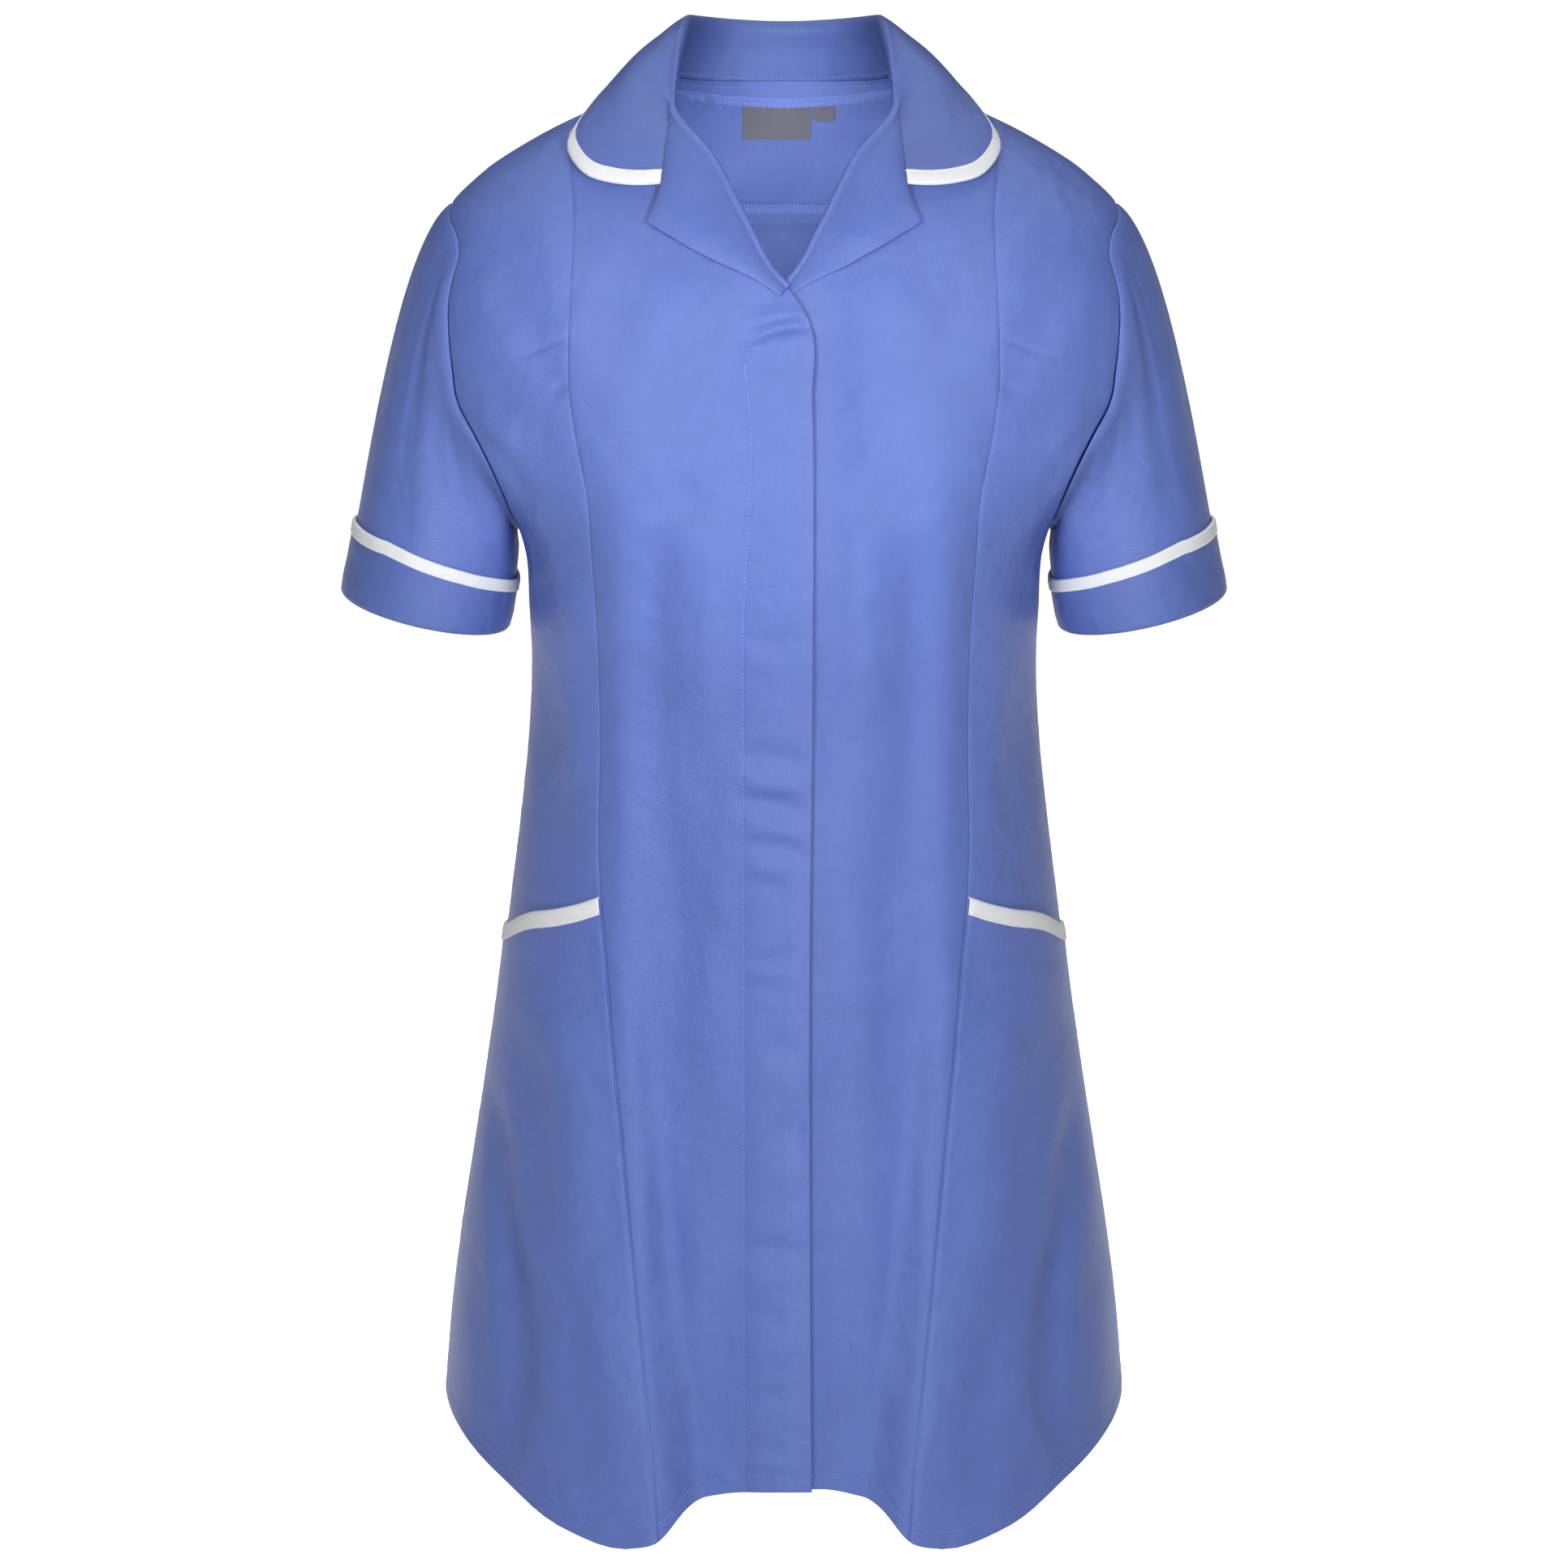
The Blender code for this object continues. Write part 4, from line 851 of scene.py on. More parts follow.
def sewn(outer, out, wall, seams=(), turned=(), hemmed=False, seed=0.0):
    """Outer and inner faces of a sheet, its seams drawn down, its turned edges rounded."""
    reach = reach_from(outer)
    wall = np.broadcast_to(np.asarray(wall, float), outer.shape[:2])
    shift = seam_shift(reach, seams, seed)
    if hemmed:
        shift += hem_shift(reach, seed)
        wall = blend(wall, FOLDED, smoothstep((HEM_WIDTH + HEM_STEP / 2 - reach["last_row"]) / HEM_STEP))
        turned = (*turned, "last_row")
    outer = outer + out * shift[..., None]
    thin = np.ones(outer.shape[:2])
    for side in turned:
        share = np.clip(1 - reach[side] / EDGE_ROUNDING, 0, 1)
        thin = np.minimum(thin, EDGE_LEAST + (1 - EDGE_LEAST) * np.sqrt(1 - share**2))
    middle = outer - out * wall[..., None] / 2
    half = out * (wall * thin)[..., None] / 2
    return middle + half, middle - half


def sheet_faces(places, closed):
    """Corners of all faces of a sheet. The places of its inner face follow those of its outer one."""
    under = places.size
    cells = np.stack((places[:-1, :-1], places[:-1, 1:], places[1:, 1:], places[1:, :-1]), axis=-1)
    cells = cells.reshape(-1, 4)
    faces = [cells, cells[:, (0, 3, 2, 1)] + under]
    rims = [places[:, 0], places[::-1, -1]]
    if not closed:
        rims += [places[0, ::-1], places[-1]]
    for rim in rims:
        faces.append(np.stack((rim[:-1], rim[1:], rim[1:] + under, rim[:-1] + under), axis=-1))
    return cells, np.concatenate(faces)


def shell(name, outer, inner, material, closed=False):
    """A smooth closed sheet between two grids of points, with lengths along it as its UV map."""
    rows, columns = outer.shape[:2]
    points = np.concatenate((outer.reshape(-1, 3), inner.reshape(-1, 3))) * MM
    ring = np.concatenate((outer, outer[:1])) if closed else outer
    across = run_of(ring, 1)
    across = across - across[:, columns // 2][:, None]
    flat = np.stack((across, run_of(ring, 0)), axis=-1).reshape(-1, 2) * MM

    places = np.arange(len(ring) * columns).reshape(len(ring), columns)
    cells, corners = sheet_faces(places, closed)
    point_of = places.ravel() % (rows * columns)
    point_of = np.concatenate((point_of, point_of + rows * columns))
    corner, beside, _, below = points[point_of[cells]].transpose(1, 0, 2)
    through = points[point_of[cells[:, 0]]] - points[point_of[cells[:, 0] + places.size]]
    # A grid that runs the other way round has its faces turned, so that they point outwards
    if np.sum(np.cross(beside - corner, below - corner) * through) < 0:
        corners = corners[:, ::-1]

    mesh = bpy.data.meshes.new(name)
    mesh.from_pydata(points.tolist(), [], point_of[corners].tolist())
    flats = np.concatenate((flat, flat))[corners]
    mesh.uv_layers.new(name="UVMap").data.foreach_set("uv", flats.reshape(-1))
    mesh.polygons.foreach_set("use_smooth", np.ones(len(corners), dtype=bool))
    mesh.set_sharp_from_angle(angle=math.radians(SHARP_ANGLE))
    mesh.materials.append(material)
    return linked(name, mesh)


def linked(name, data):
    """A new object in the scene."""
    piece = bpy.data.objects.new(name, data)
    bpy.context.scene.collection.objects.link(piece)
    return piece


def row_levels():
    """Places of the upper rows in their table, and levels of all rows at edge, seam and side."""
    gaps = np.abs(np.diff(upper_rows[:, 1]))
    places = []
    for number, gap in enumerate(gaps):
        step = DART_ROW_STEP if DART_ROWS[0] <= number < DART_ROWS[1] else ROW_STEP
        places.append(np.linspace(number, number + 1, max(2, math.ceil(gap / step)), endpoint=False))
    places = np.concatenate((*places, [len(gaps)]))
    upper = resample(upper_rows, places)
    lower = np.concatenate((np.arange(LAST_UPPER_LEVEL - ROW_STEP, HEM_ROWS[0], -ROW_STEP), HEM_ROWS))
    return places, np.concatenate((upper, np.repeat(lower[:, None], 3, axis=1))).T


upper_rows = np.array((*UPPER_ROWS, (LAST_UPPER_LEVEL,) * 3), dtype=float)
upper_places, (edge_levels, princess_levels, side_levels) = row_levels()
princess_angles = angle_at(princess_at(princess_levels), princess_levels)
YOKE_COUNT = int(np.sum(upper_places <= YOKE_ROW))


def side_angles(levels, back=False):
    """Angles of the armhole and, below it, the side seam."""
    at = armhole_back_at if back else armhole_front_at
    return np.where(levels > UNDERARM_LEVEL, angle_at(at(levels), levels, back=back), 90)


def front_grid():
    """Angles and levels of a front, from the princess seam to its edge, and its stitch line's column."""
    seam_angle = princess_angles
    edge_angle = angle_at(front_edge_at(edge_levels), edge_levels)
    turn = np.minimum(edge_angle - seam_angle, LEAST_TURN)
    level = blend(princess_levels, edge_levels, FIRST_SHARE)
    for _ in range(SETTLING_STEPS):
        line_angle = angle_at(placket_at(level), level)
        share = (line_angle - seam_angle) / turn
        share[edge_levels > LINE_STARTS] = share[edge_levels <= LINE_STARTS][0]
        level = blend(princess_levels, edge_levels, share)
    panel = share[:, None] * spaced(FRONT_PANEL_COLUMNS)
    placket = blend(share[:, None], 1, spaced(PLACKET_COLUMNS)[1:])
    share = np.concatenate((panel, placket), axis=1)
    angle = blend(seam_angle[:, None], edge_angle[:, None], share)
    return angle, blend(princess_levels[:, None], edge_levels[:, None], share), panel.shape[1] - 1


def underlap(distance):
    """Offset of the left front, which drops behind the right front near the centre."""
    share = (distance - UNDERLAP_FULL_AT) / (UNDERLAP_GONE_AT - UNDERLAP_FULL_AT)
    return UNDERLAP_OFFSET * (1 - smoothstep(share))


def placket_dip(distance, level):
    """How far the line of stitches beside a front edge sinks in."""
    below = smoothstep((PLACKET_TOP + STITCH_LINE_FADE / 2 - level) / STITCH_LINE_FADE)
    line = below * bell(distance - placket_at(level), STITCH_LINE_WIDTH)
    reach = smoothstep((distance - PLACKET_TOP_ENDS) / STITCH_TOP_FADE)
    reach = reach * smoothstep((PLACKET_TOP_STARTS - distance) / STITCH_TOP_FADE)
    top = reach * bell(level - PLACKET_TOP, STITCH_LINE_WIDTH)
    return -STITCH_LINE_DIP * np.maximum(line, top)


def body_sheet(name, angle, level, offset, seams, wall=CLOTH, turned=(), hemmed=True):
    """Outer and inner faces of a sheet that lies over the body's face."""
    outer = body_point(angle, level, offset)
    outer = drawn_in(outer, [side for side, _, _ in seams])
    return sewn(outer, body_normal(angle, level), wall, seams, turned, hemmed, RIPPLE_STARTS[name])


def make_fronts():
    """Right front on top, left front dropping behind it, both doubled and stitched at their edge."""
    angle, level, line = front_grid()
    distance = body_face(angle, level)[..., 0]
    doubled = smoothstep((placket_at(level) + FACING_STEP / 2 - distance) / FACING_STEP)
    wall = blend(CLOTH, FOLDED, doubled * smoothstep((FACING_TOP - level) / FACING_TOP_FADE))
    height = body_folds(distance, level, FRONT_FOLDS)
    dip = placket_dip(distance, level)
    rippled = folds(distance, level, PLACKET_RIPPLES) * PLACKET_RIPPLE_STRENGTH
    offsets = {
        "right": height + dip + rippled,
        "left": underlap(distance) + height * FOLD_SHARES["left"] + dip * (distance > UNDERLAP_DIP_STARTS),
    }
    for name, side in SIDES:
        front = f"front_{name}"
        outer, inner = body_sheet(front, angle, level, offsets[name], FRONT_SEAMS, wall, ("last_column",))
        dress(front, outer, inner, "blue_cotton", side)
        if name == "right":
            keep_line("blue", outer, inner, side, column=line, below=PLACKET_TOP)
            row = int(np.argmin(np.abs(level[:, line] - PLACKET_TOP)))
            columns = np.arange(line, outer.shape[1])
            columns = columns[distance[row, columns] > PLACKET_TOP_ENDS]
            keep_points("blue", outer[row, columns], inner[row, columns], side)
        keep_line("blue", outer, inner, side, row=HEM_STITCH_ROW)


def make_fly():
    """Strip behind the right front's edge that hides the fastening."""
    levels = edge_levels[edge_levels <= FLY_TOP]
    levels[-1] += HEM_SETBACK
    edge = front_edge_at(levels) + FLY_SETBACK
    levels = levels[:, None]
    distance = edge[:, None] + spaced(FLY_COLUMNS) * FLY_WIDTH
    angle = angle_at(distance, levels)
    outer = body_point(angle, levels, FLY_OFFSET + body_folds(distance, levels, FRONT_FOLDS))
    out = body_normal(angle, levels)
    dress("fly_placket", *sewn(outer, out, CLOTH, turned=("first_column", "last_row")), "blue_cotton", RIGHT)


def make_side_fronts():
    """Panels from the princess seams to the armholes and side seams, with their bust darts."""
    share = spaced(SIDE_COLUMN_COUNT)
    angle = blend(princess_angles[:, None], side_angles(side_levels)[:, None], share)
    level = blend(princess_levels[:, None], side_levels[:, None], share)
    distance = body_face(angle, level)[..., 0]
    from_edge = distance[:, -1:] - distance
    height = body_folds(distance, level, FRONT_FOLDS) * smoothstep(from_edge / ARMHOLE_FADE)
    height += folds(distance, level, DART)
    height += armhole_ease(level) * bell(from_edge, ARMHOLE_EASE_WIDTH)
    for name, side in SIDES:
        panel = f"side_front_{name}"
        offset = height * FOLD_SHARES[name]
        dress(panel, *body_sheet(panel, angle, level, offset, SIDE_FRONT_SEAMS), "blue_cotton", side)


def back_neckline(share):
    """Angle and level of the back neckline, from the neck point (0) to centre back (1)."""
    return 90 + 90 * share, -BACK_NECK_DROP * smoothstep(share) ** BACK_NECK_CURVE


def mirrored_columns(half_grid, middle):
    """A grid carried on past its last column, each value mirrored about the middle one."""
    return np.concatenate((half_grid, 2 * middle - half_grid[..., -2::-1]), axis=-1)


def back_height(angle, level):
    """Folds of the back, which fade out before the armholes."""
    distance = body_face(angle, level)[..., 0]
    clear = smoothstep((distance[:, :1] - distance) / ARMHOLE_FADE)
    clear = clear * smoothstep((distance - distance[:, -1:]) / ARMHOLE_FADE)
    return body_folds(distance, level, BACK_FOLDS) * clear


def yoke_grid():
    """Angles and levels of half the yoke, from the shoulder seam and neckline to its level seam."""
    upper = side_levels[:YOKE_COUNT]
    shoulder = BACK_SHOULDER_COLUMNS * YOKE_FINENESS
    neck_angles, neck_levels = back_neckline(np.linspace(0, 1, BACK_NECK_COLUMNS * YOKE_FINENESS + 1))
    top_angles = np.concatenate((np.full(shoulder, 90.0), neck_angles))
    top_levels = np.concatenate((upper[0] * np.linspace(1, 0, shoulder + 1)[:-1], neck_levels))
    armhole_angles = side_angles(upper, back=True)
    armhole_angles[0] = 90
    seam_angles = np.linspace(armhole_angles[-1], 180, len(top_angles))

    share = ((upper - upper[0]) / (upper[-1] - upper[0]))[:, None]
    angle = blend(top_angles, seam_angles, share)
    settle = np.clip(1 - np.arange(len(top_angles)) / shoulder, 0, 1)
    angle += (armhole_angles - angle[:, 0])[:, None] * settle
    grid = np.stack((angle, blend(top_levels, upper[-1], share)), axis=-1)
    grid = resample(grid, np.linspace(0, YOKE_COUNT - 1, YOKE_ROWS))
    near_seam = [YOKE_ROWS - 1 - step for step in YOKE_EDGE_STEPS]
    grid = resample(grid, np.sort(np.concatenate((np.arange(YOKE_ROWS), YOKE_EDGE_STEPS, near_seam))))
    columns = np.sort(np.concatenate((np.arange(len(top_angles)), ARMHOLE_EDGE_STEPS)))
    return np.moveaxis(resample(grid, columns, axis=1), -1, 0)


def make_back():
    """Yoke from the shoulder seams and neckline to a level seam, and the back below it."""
    angle, level = yoke_grid()
    angle = mirrored_columns(angle, 180)
    level = np.concatenate((level, level[:, -2::-1]), axis=-1)
    sheet = body_sheet("back_yoke", angle, level, back_height(angle, level), YOKE_SEAMS, hemmed=False)
    dress("back_yoke", *sheet, "blue_cotton", LEFT)

    side = side_levels[YOKE_COUNT - 1:]
    side_angle = side_angles(side, back=True)[:, None]
    angle = mirrored_columns(blend(side_angle, 180, spaced(BACK_HALF_COLUMNS, last=False)), 180)
    level = np.repeat(side[:, None], angle.shape[1], axis=1)
    sheet = body_sheet("back_body", angle, level, back_height(angle, level), BACK_SEAMS)
    dress("back_body", *sheet, "blue_cotton", LEFT)


def armhole_ring():
    """Angles and levels round the left armhole, from the shoulder tip down the front and back up."""
    last = len(UPPER_ROWS) - 1
    levels = resample(upper_rows, np.linspace(0, last, last * STATIONS_PER_ROW + 1))[:, 2]
    angles = np.concatenate((side_angles(levels), side_angles(levels, back=True)[-2:0:-1]))
    return angles, np.concatenate((levels, levels[-2:0:-1]))


def sleeve_frame():
    """Start points, directions and cuff points of the left sleeve, one for each station."""
    angle, level = armhole_ring()
    count = len(level)
    start = body_face(angle, level)
    normal = body_normal(angle, level)
    along = unit(np.roll(start, -1, axis=0) - np.roll(start, 1, axis=0))
    away = turned_to(unit(np.cross(along, normal)), ARMHOLE_FACES)

    half = count // 2
    station = np.arange(count)
    around = np.minimum(station, count - station) / half
    swing, reach = np.moveaxis(curve_through(SLEEVE_LEAVES)(around), -1, 0)
    swing = np.radians(swing)[:, None]
    leave = away * np.cos(swing) + normal * np.sin(swing)

    turn = np.radians(station * 360 / count)
    tilt = math.radians(CUFF_TILT)
    wide = np.array((math.cos(tilt), 0, math.sin(tilt))) * CUFF_HALF_WIDTH
    deep = np.array((0, -1, 0)) * CUFF_HALF_DEPTH
    end = np.array(CUFF_CENTRE) + np.cos(turn)[:, None] * wide + np.sin(turn)[:, None] * deep
    hang = np.array((math.sin(tilt), 0, -math.cos(tilt))) * SLEEVE_HANG
    eased = np.where(station < half, armhole_ease(level), 0)[:, None]
    leave *= 1 - SLEEVE_DRAW * eased / ARMHOLE_EASE
    return start + away * SEAM_GAP + normal * eased, leave * reach[:, None], end, hang


def sleeve_points(shares):
    """Grid of points on the left sleeve's outer face, by station and share of its length."""
    start, leave, end, hang = sleeve_frame()
    share = np.array(shares, dtype=float)[None, :, None]
    inside = np.minimum(share, 1)
    rest = 1 - inside
    points = start[:, None] * (1 + 2 * inside) * rest**2 + end[:, None] * (3 - 2 * inside) * inside**2
    points = points + leave[:, None] * inside * rest**2 - hang * rest * inside**2
    return points + hang * np.maximum(share - 1, 0)


def sleeve_normals(shares):
    """Outward directions of the sleeve's face, by station and share of its length."""
    shares = np.array(shares, dtype=float)
    lengthwise = sleeve_points(shares + SHARE_STEP) - sleeve_points(np.maximum(shares - SHARE_STEP, 0))
    points = sleeve_points(shares)
    around = np.roll(points, -1, axis=0) - np.roll(points, 1, axis=0)
    return unit(np.cross(around, lengthwise))


def sleeve_face(shares, offsets):
    """Points of the sleeve at shares of its length, moved out by offsets."""
    return sleeve_points(shares) + sleeve_normals(shares) * offsets[..., None]


def sleeve_height(shares):
    """Soft folds of a sleeve, by station and share of its length."""
    count = len(armhole_ring()[0])
    turn = (np.arange(count) * 360 / count)[:, None]
    rows = np.array(SLEEVE_FOLDS)
    rows[:, (0, 2)] *= RING_MM_PER_DEGREE
    rows[:, (1, 3)] *= -SLEEVE_LENGTH
    fade = smoothstep((SLEEVE_FOLDS_END - shares) / SLEEVE_FOLDS_FADE)
    laps = ((turn + lap) * RING_MM_PER_DEGREE for lap in (-360, 0, 360))
    return sum(folds(lap, -shares * SLEEVE_LENGTH, rows) for lap in laps) * fade * SLEEVE_FOLD_STRENGTH


def at_distance(shares, distances, offsets):
    """Points of the sleeve at even distances below the cuff's top edge, moved out by offsets."""
    points, normals = sleeve_points(shares), sleeve_normals(shares)
    along = run_of(points, 1)
    rows = []
    for line, out, run in zip(points, normals, along):
        run = run - np.interp(CUFF_TOP_SHARE, shares, run)
        spot = np.stack([np.interp(distances, run, line[:, axis]) for axis in range(3)], axis=1)
        way = np.stack([np.interp(distances, run, out[:, axis]) for axis in range(3)], axis=1)
        rows.append(spot + way * np.asarray(offsets)[:, None])
    return np.array(rows)


def make_sleeves():
    """Both sleeves with their turned-back cuffs and bindings, the right ones mirrored."""
    shares = spaced(SLEEVE_STEPS)
    outer = sleeve_face(shares, sleeve_height(shares))
    sleeve = sewn(outer, sleeve_normals(shares), CLOTH, SLEEVE_SEAMS, seed=RIPPLE_STARTS["sleeve"])

    outer_share, outside, inner_share, inside = np.array(CUFF_FACES).T
    faces = sleeve_face(outer_share, outside), sleeve_face(inner_share, inside)
    cuff = [refine(face, CUFF_FINENESS, 1) for face in faces]

    distance, outside, under, inside = np.array(CUFF_BINDING_FACES).T
    shares = np.linspace(*CUFF_BAND, CUFF_BAND_STEPS)
    faces = at_distance(shares, distance, outside), at_distance(shares, under, inside)
    band = [refine(face, BINDING_FINENESS, 1) for face in faces]
    for name, side in SIDES:
        dress(f"sleeve_{name}", *sleeve, "blue_cotton", side, closed=True)
    for name, side in SIDES:
        dress(f"cuff_{name}", *cuff, "blue_cotton", side, closed=True)
        dress(f"cuff_binding_{name}", *band, "white_trim", side, closed=True)
        keep_line("white", *band, side, column=BINDING_STITCH_COLUMN, closed=True)


def bound(edge, inward, out, scale=1.0):
    """Faces of a binding folded over an edge."""
    faces = np.array(BINDING_FACES)
    inward = inward[:, None]
    out = out[:, None]
    outer = edge[:, None] + inward * faces[:, :1] * scale + out * faces[:, 1:2]
    inner = edge[:, None] + inward * faces[:, 2:3] * scale + out * faces[:, 3:]
    return refine(outer, BINDING_FINENESS, 1), refine(inner, BINDING_FINENESS, 1)


def pocket_grid():
    """Angles and levels of a pocket, from its slanting top edge to the hem, and the shares across."""
    share = spaced(POCKET_COLUMN_COUNT)
    start = angle_at(princess_at(POCKET_CORNER_LEVEL) + POCKET_INSET, POCKET_CORNER_LEVEL)
    end = 90 - POCKET_INSET / 2
    top_level = np.full(len(share), float(POCKET_CORNER_LEVEL))
    for _ in range(SETTLING_STEPS):
        top_level = pocket_top_at(body_face(blend(start, end, share), top_level)[..., 0])
    slant = spaced(POCKET_TOP_ROWS, last=False)[:-1]
    upper = blend(top_level, POCKET_PLAIN_BELOW, slant[:, None])
    lower = edge_levels[edge_levels <= POCKET_PLAIN_BELOW]
    level = np.concatenate((upper, np.repeat(lower[:, None], len(share), axis=1)))
    level[-1] += HEM_SETBACK / 2
    at_seam = level[:, 0]
    seam_angle = angle_at(princess_at(at_seam) + POCKET_INSET, at_seam)
    return blend(seam_angle[:, None], end, share), level, share


def make_pockets():
    """Patch pocket over the lower side front, with its bound, slanting top edge."""
    angle, level, share = pocket_grid()
    distance = body_face(angle, level)[..., 0]
    gape = POCKET_GAPE * np.sin(np.pi * share) * smoothstep((level - POCKET_GAPE_ENDS) / POCKET_GAPE_LENGTH)
    height = body_folds(distance, level, FRONT_FOLDS)
    for name, side in SIDES:
        pocket = f"pocket_{name}"
        offset = height * FOLD_SHARES[name] + POCKET_HEIGHT + POCKET_WALL + gape
        outer, inner = body_sheet(pocket, angle, level, offset, POCKET_SEAMS, turned=("first_row",))
        dress(pocket, outer, inner, "blue_cotton", side)
        keep_line("blue", outer, inner, side, row=HEM_STITCH_ROW)
        down = unit(outer[POCKET_LOWER_ROW] - outer[0])
        out = unit(outer[POCKET_FLAT_ROW] - inner[POCKET_FLAT_ROW])
        band = bound(outer[0], down, out, POCKET_BINDING_SCALE)
        dress(f"pocket_binding_{name}", *band, "white_trim", side)
        keep_line("white", *band, side, column=BINDING_STITCH_COLUMN)


def revere_rows():
    """Rows of a revere, with straight outer edges between those of its table."""
    table = np.array(REVERE_ROWS, dtype=float)
    places = np.linspace(0, len(table) - 1, (len(table) - 1) * REVERE_FINENESS + 1)
    places = np.sort(np.concatenate((places, (REVERE_EDGE_STEP, places[-1] - REVERE_EDGE_STEP))))
    return np.stack([np.interp(places, np.arange(len(table)), column) for column in table.T], axis=1)


def revere_faces(tucked, rows=None):
    """Outer and inner grids of a revere on the left side. Tucked lies under the other one."""
    rows = revere_rows() if rows is None else np.array(rows, dtype=float)
    roll_level, edge_distance, edge_level = rows.T[..., None]
    roll_distance = front_edge_at(roll_level)
    share, lift = np.array(REVERE_LEG).T
    width = np.hypot(edge_distance - roll_distance, edge_level - roll_level)
    lift = blend(TUCKED_HEIGHT, lift, np.minimum(1, width / REVERE_FULL_WIDTH))
    distance = blend(roll_distance, edge_distance, share)
    level = blend(roll_level, edge_level, share)
    angle = angle_at(distance, level)

    roll_angle = angle_at(roll_distance, roll_level)
    origin = body_face(roll_angle, roll_level)
    normal = body_normal(roll_angle, roll_level)
    next_level = roll_level - ROLL_STEP
    next_angle = angle_at(front_edge_at(next_level), next_level)
    across = unit(np.cross(normal, body_face(next_angle, next_level) - origin))
    if tucked:
        free = smoothstep((distance - TUCK_STARTS) / (TUCK_ENDS - TUCK_STARTS))
        lift = blend(TUCKED_HEIGHT, lift, free) + underlap(distance)
        origin = origin + normal * underlap(origin[..., :1])
    roll = np.array(ROLL_FACES)
    outer = origin + across * roll[:, :1] + normal * roll[:, 1:2]
    inner = origin + across * roll[:, 2:3] + normal * roll[:, 3:]
    return (
        np.concatenate((body_point(angle, level, lift + COLLAR_WALL), outer), axis=1),
        np.concatenate((body_point(angle, level, lift), inner), axis=1),
    )


def fine_collar_columns(grid):
    """A collar's or revere's cross-section with more points, closer at its outer edge."""
    grid = refine(grid, COLLAR_FINENESS, 1)
    places = np.concatenate((COLLAR_EDGE_PLACES, np.arange(1, grid.shape[1])))
    return resample(grid, places, axis=1)


def make_reveres():
    """Turned-back tops of the fronts. The left one tucks under the right front."""
    turned = ("first_column", "last_row")
    for name, side in SIDES:
        outer, inner = (fine_collar_columns(grid) for grid in revere_faces(name == "left"))
        wall = np.linalg.norm(outer - inner, axis=-1)
        outer = drawn_in(outer, ["first_row"])
        sheet = sewn(outer, unit(outer - inner), wall, REVERE_SEAMS, turned, seed=RIPPLE_STARTS["revere"])
        dress(f"revere_{name}", *sheet, "blue_cotton", side)


def neck_edge(count):
    """Angles and levels along the neckline, from centre back to the gorge, on the left side."""
    back_angle, back_level = back_neckline(np.linspace(1, 0, NECK_BACK_STEPS))
    front_level = np.linspace(0, REVERE_ROWS[0][0], NECK_FRONT_STEPS)[1:]
    front_angle = angle_at(front_edge_at(front_level), front_level)
    angle = np.concatenate((back_angle, front_angle))
    level = np.concatenate((back_level, front_level))
    along = length_along(body_face(angle, level))
    places = np.linspace(0, along[-1], count)
    return np.interp(places, along, angle), np.interp(places, along, level)


def collar_edge(count):
    """Outer edge of the left half of the collar, and the way out of the body there."""
    angle, level = np.array([body_address(x, y) for x, y in line_through(COLLAR_EDGE, count)]).T
    return body_point(angle, level, COLLAR_LIFT), body_normal(angle, level)


def collar_foot(count, inward):
    """Foot of the left half of the collar's stand, a little clear of the neckline."""
    angle, level = neck_edge(count)
    seam = body_point(angle, level, -WALL / 2)
    along = unit(np.gradient(seam, axis=0))
    away = turned_to(unit(np.cross(along, body_normal(angle, level))), NECK_MIDDLE - seam)
    support = np.abs(np.sum(away * inward, axis=1, keepdims=True))
    return seam + away * (STAND_CLEAR + COLLAR_WALL / 2 * support)


def collar_faces():
    """Outer and inner grids of the left half of the collar, from centre back to the gorge."""
    count = COLLAR_STATIONS_HALF + 1
    fold = line_through(COLLAR_FOLD, count)
    edge, edge_out = collar_edge(count)
    along = unit(np.gradient(fold, axis=0))
    outward = edge - fold
    outward[:, 2] = 0
    outward = unit(outward - along * np.sum(outward * along, axis=1, keepdims=True))
    inward = -outward
    upward = turned_to(unit(np.cross(outward, along)), (0, 0, 1))
    centre = fold - upward * FOLD_RADIUS
    foot = collar_foot(count, inward)

    outer, inner = [edge], [edge - edge_out * COLLAR_WALL]
    fall = centre + outward * FOLD_RADIUS - edge
    fall_out = turned_to(unit(np.cross(np.gradient(fold + edge, axis=0), fall)), edge_out)
    first = BINDING_BAND / np.linalg.norm(fall, axis=1, keepdims=True)
    for share in FALL_SHARES:
        reach = blend(first, 1, share)
        face = edge + fall * reach + fall_out * COLLAR_ARCH * np.sin(np.pi * reach)
        outer.append(face)
        inner.append(face - fall_out * COLLAR_WALL)
    for degrees in FOLD_ANGLES:
        turn = math.radians(degrees)
        spoke = inward * math.cos(turn) + upward * math.sin(turn)
        outer.append(centre + spoke * FOLD_RADIUS)
        inner.append(centre + spoke * (FOLD_RADIUS - COLLAR_WALL))
    for share in STAND_SHARES:
        for face, radius, lean in ((outer, FOLD_RADIUS, 0.5), (inner, FOLD_RADIUS - COLLAR_WALL, -0.5)):
            face.append(blend(centre + inward * radius, foot + inward * COLLAR_WALL * lean, share))
    return np.stack(outer, axis=1), np.stack(inner, axis=1)


